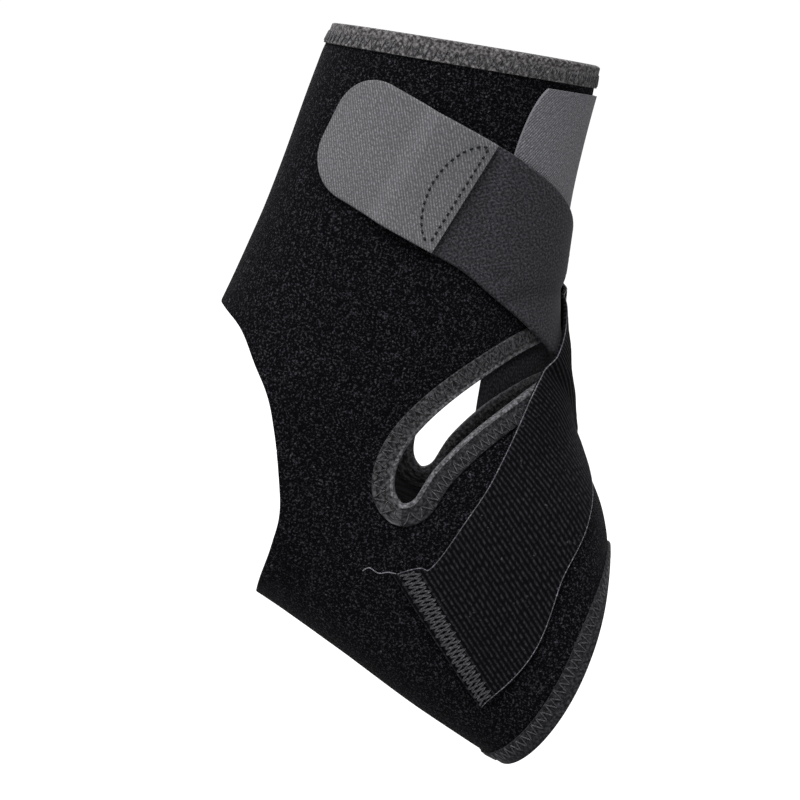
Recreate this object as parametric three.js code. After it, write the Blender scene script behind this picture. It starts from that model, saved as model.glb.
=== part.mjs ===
// Ankle brace, open at the heel, as worn on a right foot. Millimetres.
// +Z up the leg, +X toward the toes, -Y the outer (little toe) side.
// The origin is the centre of the ankle joint.
import * as THREE from 'three';

// Sizes that everything else hangs on
const legDepth = 90;        // front to back of the brace round the leg
const legWidth = 77;        // side to side at the top edge
const tall = 230;           // sole edge up to the top edge
const sleeveWall = 3;       // foam cloth of the sleeve
const strapWidth = 40;      // elastic, as worn
const strapWall = 1.5;
const tabWall = 1.1;        // hook tabs
const tapeWall = 0.7;       // folded edge binding
const tapeWidth = 6.4;
const gap = 0.3;            // clearance between neighbours

const slack = 0.2;          // more where flat facets bridge a curve
const pinched = [0.5, 0.88];   // shares of the wall left at a bound edge and a row in
const flapLift = sleeveWall + gap + slack;   // inner flap end over outer flap end

// The worn form, a fan of sections from the top edge to the toe edge.
// Each row: front x and z, back x and z (shares of legDepth and tall), half
// width (share of legWidth), where it is widest (0 front, 1 back), fullness of
// the front and back corners, forward bow of the sides (share of legDepth).
const form = [
  //  frontX frontZ  backX   backZ  half   wide  fullF fullB  bow
  [0.483, 0.571, -0.494, 0.532, 0.500, 0.50, 0.00, 0.04, 0],
  [0.483, 0.487, -0.517, 0.439, 0.487, 0.50, 0.00, 0.03, 0],
  [0.497, 0.400, -0.544, 0.335, 0.474, 0.50, 0.00, 0.02, 0],
  [0.522, 0.313, -0.580, 0.222, 0.468, 0.49, 0.02, 0.00, 0],
  [0.544, 0.243, -0.633, 0.104, 0.487, 0.48, 0.03, 0.00, 0],
  [0.572, 0.200, -0.720, -0.026, 0.500, 0.47, 0.04, 0.00, 0],
  [0.600, 0.170, -0.733, -0.148, 0.494, 0.46, 0.05, 0.02, 0],
  [0.633, 0.135, -0.556, -0.255, 0.487, 0.46, 0.06, 0.05, 0],
  [0.690, 0.091, -0.200, -0.291, 0.494, 0.47, 0.08, 0.12, 0.02],
  [0.788, 0.041, 0.111, -0.330, 0.519, 0.50, 0.10, 0.18, 0.05],
  [0.926, -0.026, 0.444, -0.376, 0.540, 0.53, 0.10, 0.22, 0.07],
  [1.022, -0.106, 0.800, -0.416, 0.550, 0.55, 0.08, 0.22, 0.09],
];
const lastRow = form.length - 1;
const toeWay = [0.927, -0.375];    // direction of the foot in the x-z plane

// Instep opening: station of its upper and lower edge, from the front (0) to
// its rounded end (1). Heel opening: the same, from the back (0) to its end.
const slotEnd = 90;                // degrees round from the front
const slot = [
  // along  upper  lower
  [0.0, 5.30, 6.92],
  [0.2, 5.38, 6.96],
  [0.4, 6.00, 7.16],
  [0.6, 6.64, 7.47],
  [0.8, 7.27, 7.77],
  [1.0, 7.72, 7.72],
];
const heelEnd = 110;
const heel = [
  [0.0, 3.95, 7.95],
  [0.2, 4.02, 7.88],
  [0.4, 4.27, 7.68],
  [0.6, 4.80, 7.38],
  [0.8, 5.44, 6.96],
  [1.0, 6.20, 6.20],
];

// The wrap is open at the front: the outer flap runs under, the inner over.
const outerFlapEnd = -60;          // degrees, minus is past the front
const innerFlapEnd = -26;
const liftFull = -66;              // the inner flap stands off up to here,
const liftNone = -90;              // and lies on the surface from here back
const tuckOver = 3.5;              // degrees over which the outer flap is cut back
const tuckTop = 0.46;              // stations cut off its top and its foot
const tuckFoot = 0.92;
const fallOver = 11;               // degrees over which a layer falls off a flap's end
const wrapRows = 13;
const ringRows = 10;
// Columns by the front that don't belong to the openings, in degrees
const underFlap = [outerFlapEnd, -49, -39, -31];
const frontColumns = [-15, -7];
const endColumn = 4;               // no other column this near to the inner flap's end

// Numbers along a table
function smooth(p0, p1, p2, p3, t) {
  return 0.5 * (2 * p1 + (p2 - p0) * t + (2 * p0 - 5 * p1 + 4 * p2 - p3) * t * t
    + (3 * p1 - p0 - 3 * p2 + p3) * t * t * t);
}
function cell(rows, i, k) {
  const last = rows.length - 1;
  if (i < 0) return 2 * rows[0][k] - rows[1][k];
  if (i > last) return 2 * rows[last][k] - rows[last - 1][k];
  return rows[i][k];
}
function along(rows, k, x) {
  const i = Math.max(0, Math.min(rows.length - 2, Math.floor(x)));
  return smooth(cell(rows, i - 1, k), cell(rows, i, k), cell(rows, i + 1, k),
    cell(rows, i + 2, k), x - i);
}
function ease(x) {
  const t = Math.max(0, Math.min(1, x));
  return t * t * (3 - 2 * t);
}
const rad = Math.PI / 180;
const quarter = Math.PI / 2;

// The surface: u degrees round from the front (plus = outer side), v station
function point(u, v) {
  const r = form[0].map((_, k) => along(form, k, v));
  const front = [r[0] * legDepth, r[1] * tall];
  const back = [r[2] * legDepth, r[3] * tall];
  const mid = [0, 1].map((k) => front[k] + (back[k] - front[k]) * r[5]);
  const c = Math.cos(u * rad);
  const s = Math.sin(u * rad);
  const full = c >= 0 ? r[6] : r[7];
  const far = c * (1 + full * s * s);
  const side = s * (1 + full * c * c);
  const end = c >= 0 ? front : back;
  const xz = [0, 1].map((k) => mid[k] + (end[k] - mid[k]) * Math.abs(far)
    + toeWay[k] * r[8] * legDepth * s * s);
  return new THREE.Vector3(xz[0], -r[4] * legWidth * side, xz[1]);
}
function slopes(u, v) {
  const a = 0.05;        // small steps, in degrees and stations
  const b = 0.002;
  return [point(u + a, v).sub(point(u - a, v)).divideScalar(2 * a),
    point(u, v + b).sub(point(u, v - b)).divideScalar(2 * b)];
}
function outward(u, v) {
  const [du, dv] = slopes(u, v);
  return du.cross(dv).normalize();
}
const raised = (u, v, h) => point(u, v).addScaledVector(outward(u, v), h);

// One step after another over the surface from (u, v), heading along `aim`.
const longestStep = 2.5;
function walk(u, v, aim, far) {
  const heading = aim.clone();
  const n = Math.max(1, Math.ceil(Math.abs(far) / longestStep));
  for (let k = 0; k < n; k++) {
    const [du, dv] = slopes(u, v);
    const step = heading.clone().multiplyScalar(far / n);
    const uu = du.dot(du);
    const uv = du.dot(dv);
    const vv = dv.dot(dv);
    const a = step.dot(du);
    const b = step.dot(dv);
    const det = uu * vv - uv * uv;
    u += (a * vv - b * uv) / det;
    v += (b * uu - a * uv) / det;
    const out = outward(u, v);
    heading.addScaledVector(out, -heading.dot(out)).normalize();
  }
  return [u, v];
}

// Closed bodies, always turned to face outward
function body(name, spots, faces, look) {
  const g = new THREE.BufferGeometry();
  const volume = faces.reduce((sum, [a, b, c]) => sum
    + spots[a].clone().cross(spots[b]).dot(spots[c]), 0);
  if (volume < 0) faces = faces.map(([a, b, c]) => [a, c, b]);
  g.setAttribute('position', new THREE.Float32BufferAttribute(
    spots.flatMap((p) => [p.x, p.y, p.z]), 3));
  g.setIndex(faces.flat());
  g.computeVertexNormals();
  const m = new THREE.Mesh(g, new THREE.MeshStandardMaterial(look));
  m.name = name;
  return m;
}
// A sheet has an outer and an inner spot per corner; its open edges are closed.
function sheet(name, outer, inner, faces, look) {
  const n = outer.length;
  const all = [];
  const edges = new Set(faces.flatMap(([a, b, c]) => [`${a},${b}`, `${b},${c}`, `${c},${a}`]));
  for (const [a, b, c] of faces) {
    all.push([a, b, c], [c + n, b + n, a + n]);
    for (const [p, q] of [[a, b], [b, c], [c, a]]) {
      if (!edges.has(`${q},${p}`)) all.push([q, p, p + n], [p + n, q + n, q]);
    }
  }
  return body(name, outer.concat(inner), all, look);
}
// Each cell of a grid is cut along its shorter diagonal.
function cut(spots, a, b, c, d) {
  const short = spots[a].distanceTo(spots[d]) < spots[b].distanceTo(spots[c]);
  const pair = short ? [[a, b, d], [a, d, c]] : [[a, b, c], [b, d, c]];
  return pair.filter((f) => new Set(f).size === 3);
}
function gridFaces(spots, id, wide, long) {
  const faces = [];
  for (let i = 0; i < wide; i++) {
    for (let j = 0; j < long; j++) {
      faces.push(...cut(spots, id(i, j), id(i + 1, j), id(i, j + 1), id(i + 1, j + 1)));
    }
  }
  return faces;
}

// Edges of the sleeve
const slotSteps = 12;
const sideSteps = 3;
const heelSteps = 9;
// Degrees of the columns on one side, clustered at the ends of the openings
const halfTurn = [];
for (let k = 0; k <= slotSteps; k++) {
  halfTurn.push(slotEnd * Math.sin(quarter * k / slotSteps));
}
for (let k = 1; k < sideSteps; k++) {
  halfTurn.push(slotEnd + (heelEnd - slotEnd) * k / sideSteps);
}
for (let k = heelSteps; k >= 0; k--) {
  halfTurn.push(180 - (180 - heelEnd) * Math.sin(quarter * k / heelSteps));
}
const tableAt = (rows, k, q) => along(rows, k, q * (rows.length - 1));
const offFront = (u) => Math.abs(((u + 180) % 360 + 360) % 360 - 180);   // degrees, 0 to 180
const arc = (share) => Math.asin(Math.min(1, share)) / quarter;
// k = 1 is the leg part's lower edge, 2 the foot part's upper; on the sides they are one
function seam(u, k) {
  const t = offFront(u);
  if (t <= slotEnd) return tableAt(slot, k, arc(t / slotEnd));
  if (t >= heelEnd) return tableAt(heel, k, arc((180 - t) / (180 - heelEnd)));
  const q = (t - slotEnd) / (heelEnd - slotEnd);
  return slot[slot.length - 1][1] * (1 - ease(q)) + heel[heel.length - 1][1] * ease(q);
}
const bySlot = (u) => offFront(u) <= slotEnd;
// The wrap runs from the outer flap's end round to the inner flap's end
const lift = (u) => flapLift * (1 - ease((360 + liftFull - u) / (liftFull - liftNone)));
// 1 where the outer flap is underneath; there it is cut back, clear of the bindings
const tucked = (u) => ease((innerFlapEnd + tuckOver - u) / tuckOver);
const wrapTop = (u) => tuckTop * tucked(u);
const wrapFoot = (u) => seam(u, 1) - tuckFoot * tucked(u);

// Colours of the cloths
const cloth = { color: 0x17161b, roughness: 0.95, metalness: 0 };
const elastic = { color: 0x19181d, roughness: 0.85, metalness: 0 };
const smoothElastic = { color: 0x333237, roughness: 0.8, metalness: 0 };
const hook = { color: 0x6e6d71, roughness: 0.7, metalness: 0 };
const tapeLook = { color: 0x4b494a, roughness: 0.85, metalness: 0 };

function sleeve() {
  const outer = [];
  const inner = [];
  const seen = new Map();
  const put = (u, v, h, wall) => {
    const p = raised(u, v, h);
    const key = [p.x, p.y, p.z].map((c) => c.toFixed(3)).join();
    if (!seen.has(key)) {
      seen.set(key, outer.length);
      outer.push(p);
      inner.push(raised(u, v, h - wall));
    }
    return seen.get(key);
  };
  const back = halfTurn.slice(0, -1).reverse().map((u) => 360 - u);
  const around = halfTurn.concat(back);              // 0 to 360
  const wrap = [...underFlap, innerFlapEnd, innerFlapEnd + tuckOver, ...frontColumns];
  wrap.push(...around.filter((u) => u < 360 + innerFlapEnd - endColumn), 360 + innerFlapEnd);
  const top = wrap.map((u) => Array.from({ length: wrapRows + 1 }, (_, j) => {
    const v = wrapTop(u) + (wrapFoot(u) - wrapTop(u)) * j / wrapRows;
    const unbound = u < innerFlapEnd + tuckOver - slack;
    const toSlot = bySlot(u) ? wrapRows - j : wrapRows;
    const toEdge = unbound ? wrapRows : Math.min(j, toSlot);
    return put(u, v, u > 180 ? lift(u) : 0, sleeveWall * (pinched[toEdge] || 1));
  }));
  const low = around.map((u) => Array.from({ length: ringRows + 1 }, (_, j) => {
    const v = seam(u, 2) + (lastRow - seam(u, 2)) * j / ringRows;
    const toEdge = bySlot(u) ? Math.min(j, ringRows - j) : ringRows - j;
    return put(u, v, 0, sleeveWall * (pinched[toEdge] || 1));
  }));
  const faces = gridFaces(outer, (i, j) => top[i][j], wrap.length - 1, wrapRows)
    .concat(gridFaces(outer, (i, j) => low[i][j], around.length - 1, ringRows));
  return sheet('sleeve', outer, inner, faces, cloth);
}

// Folded binding round an edge
// Each stop is [u, v, height of the cloth at any u]; `into` is 1 when the cloth
// lies to the left of the path seen from outside, -1 when to the right.
function binding(name, stops, into, closed) {
  const n = stops.length;
  const lie = gap + slack;
  const out = lie + tapeWall;
  const t = pinched[0] * sleeveWall;
  const deep = sleeveWall + 2 * slack;
  // Across the fold: distance into the cloth, height; inside it clears the facets
  const shape = [
    [tapeWidth, lie], [tapeWidth, out], [0, out], [-0.8 * out, 0.55 * out],
    [-out, -0.5 * t], [-0.8 * out, -t - 0.55 * out], [0, -t - out],
    [tapeWidth, -deep - out], [tapeWidth, -deep - lie], [-gap, -t - lie], [-gap, lie],
  ];
  const m = shape.length;
  const spots = [];
  const faces = [];
  const edge = ([u, v, high]) => raised(u, v, high(u));
  stops.forEach(([u, v, base], i) => {
    const before = stops[closed ? (i + n - 1) % n : Math.max(0, i - 1)];
    const after = stops[closed ? (i + 1) % n : Math.min(n - 1, i + 1)];
    const way = edge(after).sub(edge(before)).normalize();
    const aim = outward(u, v).cross(way).multiplyScalar(into).normalize();
    for (const [far, high] of shape) {
      const [a, b] = far > 0 ? walk(u, v, aim, far) : [u, v];
      spots.push(raised(a, b, base(a) + high).addScaledVector(aim, Math.min(0, far)));
    }
  });
  const row = (i) => (i % n) * m;
  for (let i = 0; i < (closed ? n : n - 1); i++) {
    for (let k = 0; k < m; k++) {
      const next = (k + 1) % m;
      faces.push(...cut(spots, row(i) + k, row(i) + next, row(i + 1) + k, row(i + 1) + next));
    }
  }
  if (!closed) {
    // The two ends: the U as two legs and a fold
    const fan = [[0, 1, 2], [0, 2, 10], [2, 3, 10], [3, 4, 10], [4, 9, 10], [4, 5, 9],
      [5, 6, 9], [6, 8, 9], [6, 7, 8]];
    for (const [a, b, c] of fan) {
      faces.push([a, c, b]);
      faces.push([a, b, c].map((k) => k + (n - 1) * m));
    }
  }
  return body(name, spots, faces, tapeLook);
}

// What lies under the straps
const slotTurn = halfTurn.slice(0, slotSteps + 1);
const flat = () => 0;
const onInnerFlap = (u) => lift(360 + u);
const instepStops = [
  ...[innerFlapEnd + endColumn, ...frontColumns].concat(slotTurn)
    .map((u) => [u, seam(u, 1), flat]),
  ...slotTurn.slice(0, -1).reverse().map((u) => [u, seam(u, 2), flat]),
  ...slotTurn.slice(1).map((u) => [-u, seam(u, 2), flat]),
  ...slotTurn.slice(0, -1).reverse().filter((u) => u > endColumn - innerFlapEnd)
    .concat(1 - innerFlapEnd).map((u) => [-u, seam(u, 1), onInnerFlap]),
];
const foldLine = [];
instepStops.slice(1).forEach(([u, v, base], i) => {
  for (const t of [0, 0.5, 1]) {
    const a = instepStops[i][0] * (1 - t) + u * t;
    const b = instepStops[i][1] * (1 - t) + v * t;
    foldLine.push({ at: point(a, b), half: tapeWidth, top: base(a) + gap + slack + tapeWall });
  }
});
// Closure tab: degrees it reaches from and to, how far its end bulges past that, and
// the stations of its upper and lower edge
const tab = { from: -54, to: 43.5, bulge: 11, top: 0.45, foot: 3.35 };
const tabCorner = 0.96;            // share of the half height where the end's curve starts
function tabEnd(v) {
  const middle = (tab.top + tab.foot) / 2;
  const q = tabCorner * (v - middle) / (middle - tab.top);
  return tab.to + tab.bulge * Math.sqrt(Math.max(0, 1 - q * q));
}
// The inner flap's outer face, and the slope down off its end, `past` degrees on
function flapTop(u, past) {
  if (u > innerFlapEnd) return flapLift * (1 - ease((u - innerFlapEnd - past) / fallOver));
  return lift(360 + u);
}
// The highest top that counts at p: each spot's in full up to its half width,
// then easing off.
function highest(spots, p, off) {
  return Math.max(...spots.map((f) => f.top
    * (1 - ease((f.at.distanceTo(p) - f.half - 1) / off))));
}
// How far past each layer a strap comes down again
const easeOff = { flapEnd: 5, flapFoot: 1.6, tabSide: 8, tabFoot: 0.5, fold: 13, strap: 6 };
const outerSide = 20;              // degrees past which there is no flap end beneath
// Height that a strap clears at (u, v): every layer there, easing off past each
// edge the way a tight band bridges it. `under` is the line of a strap beneath.
function ground(u, v, under) {
  const p = point(u, v);
  const side = ((u + 180) % 360 + 360) % 360 - 180;
  const flap = side > outerSide ? 0 : flapTop(side, easeOff.flapEnd);
  const inTab = ease((side - tab.from) / easeOff.tabSide + 1.3)
    * (1 - ease((side - tabEnd(v) - 1) / easeOff.tabSide))
    * (1 - ease((v - tab.foot - 0.12) / easeOff.tabFoot));
  const top = Math.max(flap * (1 - ease((v - seam(side, 1)) / easeOff.flapFoot)),
    inTab * (flap + gap + tabWall), highest(foldLine, p, easeOff.fold));
  const clear = top + gap + (top > slack ? slack : 0);
  if (!under) return clear;
  return clear + highest(under, p, easeOff.strap) * (strapWall + gap + 3 * slack);
}

// Straps and their tabs: a band along a line of stops
const perStop = 40;                // fine steps from one stop to the next
function line(stops) {             // stops: [u, v, width share]
  const fine = [];
  for (let k = 0; k <= (stops.length - 1) * perStop; k++) {
    const [u, v, width] = [0, 1, 2].map((c) => along(stops, c, k / perStop));
    const at = point(u, v);
    const s = k ? fine[k - 1].s + at.distanceTo(fine[k - 1].at) : 0;
    fine.push({ s, u, v, half: width * strapWidth / 2, at, top: 1 });
  }
  return fine;
}
function lineAt(fine, s) {
  let k = 1;
  while (k < fine.length - 1 && fine[k].s < s) k++;
  const a = fine[k - 1];
  const b = fine[k];
  const t = (s - a.s) / (b.s - a.s);
  const mix = (key) => a[key] + (b[key] - a[key]) * t;
  return { u: mix('u'), v: mix('v'), half: mix('half'),
    way: b.at.clone().sub(a.at).normalize() };
}
const across = 6;
const crowding = 1.6;
// `rise` gives the height at (u, v) a length s along the band.
function band(name, fine, from, to, steps, wall, round, look, rise) {
  const outer = [];
  const inner = [];
  for (let i = 0; i <= steps; i++) {
    // The last steps crowd into the rounded end
    const s = from + (to - from) * (round ? 1 - (1 - i / steps) ** crowding : i / steps);
    const here = lineAt(fine, s);
    const side = outward(here.u, here.v).cross(here.way).normalize();
    const toEnd = Math.max(0, to - s);
    const half = here.half
      + (toEnd < round ? Math.sqrt(round ** 2 - (round - toEnd) ** 2) - round : 0);
    for (let k = 0; k <= across; k++) {
      const [u, v] = walk(here.u, here.v, side, half * (1 - 2 * k / across));
      const h = rise(u, v, s);
      outer.push(raised(u, v, h + wall));
      inner.push(raised(u, v, h));
    }
  }
  const faces = gridFaces(outer, (i, j) => i * (across + 1) + j, steps, across);
  return sheet(name, outer, inner, faces, look);
}

// Outer side strap: sewn low on the outer side of the foot, over the instep on
// top of the other strap, round to the inner side of the leg.
const outerStrap = line([
  //  u     v     width
  [106, 9.30, 1.32],
  [90, 9.43, 1.17],
  [70, 9.27, 1.03],
  [48, 8.95, 0.98],
  [24, 8.40, 0.97],
  [0, 7.45, 0.97],
  [-20, 6.10, 0.96],
  [-40, 4.80, 0.96],
  [-60, 3.75, 0.96],
  [-82, 3.00, 0.95],
  [-104, 2.55, 0.95],
  [-126, 2.25, 0.95],
  [-160, 2.00, 0.95],
]);
// Inner side strap: the same the other way round, under the outer one.
const innerStrap = line([
  [-106, 9.30, 1.32],
  [-90, 9.40, 1.17],
  [-70, 9.10, 1.03],
  [-52, 8.35, 0.98],
  [-36, 7.05, 0.97],
  [-20, 5.50, 0.97],
  [0, 4.12, 0.99],
  [20, 3.43, 1.00],
  [40, 2.89, 1.00],
  [56, 2.52, 0.98],
  [72, 2.24, 0.99],
  [92, 1.93, 0.99],
  [114, 1.62, 0.99],
  [146, 1.27, 0.99],
]);
const tabOverlap = 0.42 * strapWidth;      // strap end hidden under its tab
const tabLong = 1.3 * strapWidth;
const noseRound = 0.43 * strapWidth;
const stepDown = 7;                // a tab comes off its strap's end over this length
const strapSteps = 36;
const tabSteps = 16;

function strapWithTab(fine, names, lastU, look, under) {
  const end = fine.find((f) => (lastU - f.u) * (lastU - fine[0].u) <= 0).s;
  const bare = (u, v) => ground(u, v, under);
  const step = (u, v, s) => ground(u, v, under)
    + (strapWall + gap + slack) * (1 - ease((s - end - 1) / stepDown));
  return [
    band(names[0], fine, 0, end, strapSteps, strapWall, 0, look, bare),
    band(names[1], fine, end - tabOverlap, end - tabOverlap + tabLong, tabSteps, tabWall,
      noseRound, hook, step),
  ];
}

// Closure tab on the inner flap, reaching round onto the outer flap
function closureTab() {
  const wide = 13;
  const high = 8;
  const middle = (tab.top + tab.foot) / 2;
  const outer = [];
  const inner = [];
  for (let i = 0; i <= wide; i++) {
    for (let j = 0; j <= high; j++) {
      const v = middle - (middle - tab.top) * Math.cos(180 * rad * j / high);
      const u = tab.from + (tabEnd(v) - tab.from) * i / wide;
      const h = flapTop(u, tuckOver) + gap;
      outer.push(raised(u, v, h + tabWall));
      inner.push(raised(u, v, h));
    }
  }
  const faces = gridFaces(outer, (i, j) => i * (high + 1) + j, wide, high);
  return sheet('closure_tab', outer, inner, faces, hook);
}

// The part
const part = new THREE.Group();
part.name = 'ankle_brace';
part.add(sleeve());

const ring = halfTurn.concat(halfTurn.slice(1, -1).reverse().map((u) => 360 - u));
const topStops = [innerFlapEnd + endColumn, ...frontColumns]
  .concat(ring.filter((u) => u < 360 + innerFlapEnd - endColumn), 360 + innerFlapEnd - 1)
  .map((u) => [u, 0, (a) => (a > 180 ? lift(a) : 0)]);
part.add(binding('top_binding', topStops, 1, false));
part.add(binding('forefoot_binding', ring.map((u) => [u, lastRow, flat]), -1, true));
part.add(binding('instep_binding', instepStops, -1, false));

part.add(...strapWithTab(innerStrap, ['strap_inner', 'tab_of_strap_inner'], 90,
  smoothElastic));
part.add(...strapWithTab(outerStrap, ['strap_outer', 'tab_of_strap_outer'], -100, elastic,
  innerStrap));
part.add(closureTab());

export default part;
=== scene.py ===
# %% [markdown]
# # Ankle brace with two crossed straps
# The brace is a sleeve of foam cloth wrapped round the leg and foot. It is open at
# the heel and over the instep, its edges are bound with folded tape, and two elastic
# straps cross over the instep and hold on the leg with hook tabs. This lesson makes
# every piece as a surface worked out with numpy on one shared form, so that each layer
# lies on the layer under it.

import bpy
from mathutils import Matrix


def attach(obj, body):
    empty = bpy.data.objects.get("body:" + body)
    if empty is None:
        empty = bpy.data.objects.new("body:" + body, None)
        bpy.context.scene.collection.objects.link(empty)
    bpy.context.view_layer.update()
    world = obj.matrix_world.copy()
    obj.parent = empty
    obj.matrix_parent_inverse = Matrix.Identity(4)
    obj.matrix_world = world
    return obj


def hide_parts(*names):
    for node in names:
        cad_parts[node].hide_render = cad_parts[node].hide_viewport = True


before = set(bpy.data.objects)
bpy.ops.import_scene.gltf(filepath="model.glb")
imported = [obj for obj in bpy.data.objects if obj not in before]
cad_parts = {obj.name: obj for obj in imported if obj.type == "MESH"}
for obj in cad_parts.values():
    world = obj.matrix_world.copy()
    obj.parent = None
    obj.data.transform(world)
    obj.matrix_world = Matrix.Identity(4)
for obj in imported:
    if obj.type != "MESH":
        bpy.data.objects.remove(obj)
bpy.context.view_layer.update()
print("solids:", sorted(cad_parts))

# %% Tools
import math

import bpy
import numpy as np
from mathutils import Matrix, Vector

# %% [markdown]
# ## The camera
# The brace is seen from its outer side, a little from above, and the picture is
# turned because the foot points down to the right. A camera could be placed by eye
# with a target, but the turn is easier to keep when its three axes are worked out and
# put into one matrix. A long lens keeps the sleeve's far side nearly as large as its
# near side.

# %% Camera
MM = 0.001                          # every size below is in millimetres
AIM_AT = np.array([9.6, 0.0, 8.9])
CAMERA_AWAY = 750.0
CAMERA_ROUND = math.radians(3)
CAMERA_UP = math.radians(9)
CAMERA_TURN = math.radians(15.5)
LENS = 101.25
SENSOR = 36.0


def camera_axes():
    """The camera's right, up and back. Back points from the target to the camera;
    right is level and square to it; up is back x right; then right and up are both
    turned about back by the picture's turn."""
    back = np.array([math.sin(CAMERA_ROUND) * math.cos(CAMERA_UP),
                     -math.cos(CAMERA_ROUND) * math.cos(CAMERA_UP), math.sin(CAMERA_UP)])
    right = np.cross([0.0, 0.0, 1.0], back)
    right /= np.linalg.norm(right)
    up = np.cross(back, right)
    cos, sin = math.cos(CAMERA_TURN), math.sin(CAMERA_TURN)
    return right * cos + up * sin, up * cos - right * sin, back


camera_data = bpy.data.cameras.new("camera")
camera_data.lens = LENS
camera_data.sensor_width = SENSOR
camera_data.clip_start = 0.01
camera_data.clip_end = 50.0
camera = bpy.data.objects.new("camera", camera_data)
bpy.context.scene.collection.objects.link(camera)
axes = np.array(camera_axes())
place = np.eye(4)
place[:3, :3] = axes.T
place[:3, 3] = (AIM_AT + axes[2] * CAMERA_AWAY) * MM
camera.matrix_world = Matrix(place.tolist())
bpy.context.scene.camera = camera
print("camera at", np.round(place[:3, 3], 3))

# %% [markdown]
# ## The form under everything
# On the real object the foot and leg give the cloth its form. It could be sculpted,
# but then each strap would have to be shrunk onto it. Here the form is a function of
# two numbers: u, the degrees round from the front with plus on the outer side, and v,
# a station that runs from 0 at the top edge to 11 at the toe edge. Short tables hold
# the sections as shares of the named sizes, and a smooth curve runs through them.

# %% Sizes and tables
LEG_DEPTH = 90.0
LEG_WIDTH = 77.0
TALL = 230.0
SLEEVE_WALL = 3.0
STRAP_WIDTH = 40.0
STRAP_WALL = 1.5
TAB_WALL = 1.1
TAPE_WALL = 0.7
TAPE_WIDTH = 6.4
GAP = 0.3
SLACK = 0.2
FLAP_LIFT = SLEEVE_WALL + GAP + SLACK
TOE_WAY = np.array([0.927, -0.375])

FORM = np.array([
    # frontX frontZ  backX   backZ  half   wide  fullF fullB  bow
    [0.483, 0.571, -0.494, 0.532, 0.500, 0.50, 0.00, 0.04, 0.00],
    [0.483, 0.487, -0.517, 0.439, 0.487, 0.50, 0.00, 0.03, 0.00],
    [0.497, 0.400, -0.544, 0.335, 0.474, 0.50, 0.00, 0.02, 0.00],
    [0.522, 0.313, -0.580, 0.222, 0.468, 0.49, 0.02, 0.00, 0.00],
    [0.544, 0.243, -0.633, 0.104, 0.487, 0.48, 0.03, 0.00, 0.00],
    [0.572, 0.200, -0.720, -0.026, 0.500, 0.47, 0.04, 0.00, 0.00],
    [0.600, 0.170, -0.733, -0.148, 0.494, 0.46, 0.05, 0.02, 0.00],
    [0.633, 0.135, -0.556, -0.255, 0.487, 0.46, 0.06, 0.05, 0.00],
    [0.690, 0.091, -0.200, -0.291, 0.494, 0.47, 0.08, 0.12, 0.02],
    [0.788, 0.041, 0.111, -0.330, 0.519, 0.50, 0.10, 0.18, 0.05],
    [0.926, -0.026, 0.444, -0.376, 0.540, 0.53, 0.10, 0.22, 0.07],
    [1.022, -0.106, 0.800, -0.416, 0.550, 0.55, 0.08, 0.22, 0.09],
])
LAST_ROW = len(FORM) - 1.0

SLOT_END = 90.0                     # degrees round to the instep opening's rounded end
SLOT = np.array([
    # upper lower   stations of its two edges, from the front to the rounded end
    [5.30, 6.92],
    [5.38, 6.96],
    [6.00, 7.16],
    [6.64, 7.47],
    [7.27, 7.77],
    [7.72, 7.72],
])
HEEL_END = 110.0
HEEL = np.array([
    # upper lower   the same for the heel opening, from the back
    [3.95, 7.95],
    [4.02, 7.88],
    [4.27, 7.68],
    [4.80, 7.38],
    [5.44, 6.96],
    [6.20, 6.20],
])
OUTER_FLAP_END = -60.0
INNER_FLAP_END = -26.0
TAPE_START = 4.0                    # degrees past the inner flap's end where tapes start
TUCK = 3.5                          # degrees over which the outer flap goes under
TUCK_TOP = 0.46                     # stations that the tucked flap is cut back
TUCK_FOOT = 0.92
LIFT_FULL = -66.0
LIFT_NONE = -90.0


# %% Curves through a table
def ease(x):
    """A soft step: 0 below 0, 1 above 1, and 3t^2 - 2t^3 between."""
    t = np.clip(x, 0.0, 1.0)
    return t * t * (3 - 2 * t)


def along(rows, x):
    """All columns of a table at row number x, whole or between two rows.
    With rows a, b, c, d about x and t the share from b to c, the value is half of
    2b + (c-a)t + (2a-5b+4c-d)t^2 + (3b-a-3c+d)t^3. Past an end the rows are mirrored."""
    full = np.concatenate([2 * rows[:1] - rows[1:2], rows, 2 * rows[-1:] - rows[-2:-1]])
    x = np.asarray(x, float)
    i = np.clip(np.floor(x).astype(int), 0, len(rows) - 2)
    t = (x - i)[..., None]
    a, b, c, d = (full[i + k] for k in range(4))
    cube = 3 * b - a - 3 * c + d
    return 0.5 * (2 * b + (c - a) * t + (2 * a - 5 * b + 4 * c - d) * t**2 + cube * t**3)


def unit(vectors):
    """Each vector divided by its length."""
    return vectors / np.maximum(np.linalg.norm(vectors, axis=-1, keepdims=True), 1e-12)


def dot(a, b):
    """The dot product of each pair of vectors."""
    return (a * b).sum(-1)


def lengths(points):
    """Length along a line of points up to each of them."""
    return np.append(0, np.cumsum(np.linalg.norm(np.diff(points, axis=0), axis=-1)))


def between_rows(x, at, rows):
    """Vectors at x, read straight between the rows, whose own places are `at`."""
    return np.stack([np.interp(x, at, rows[:, k]) for k in range(3)], -1)


# %% [markdown]
# A section is two half ellipses that meet at its widest line, with the corners
# filled out a little. The outward direction is the cross product of the steps along
# u and along v.


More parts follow.
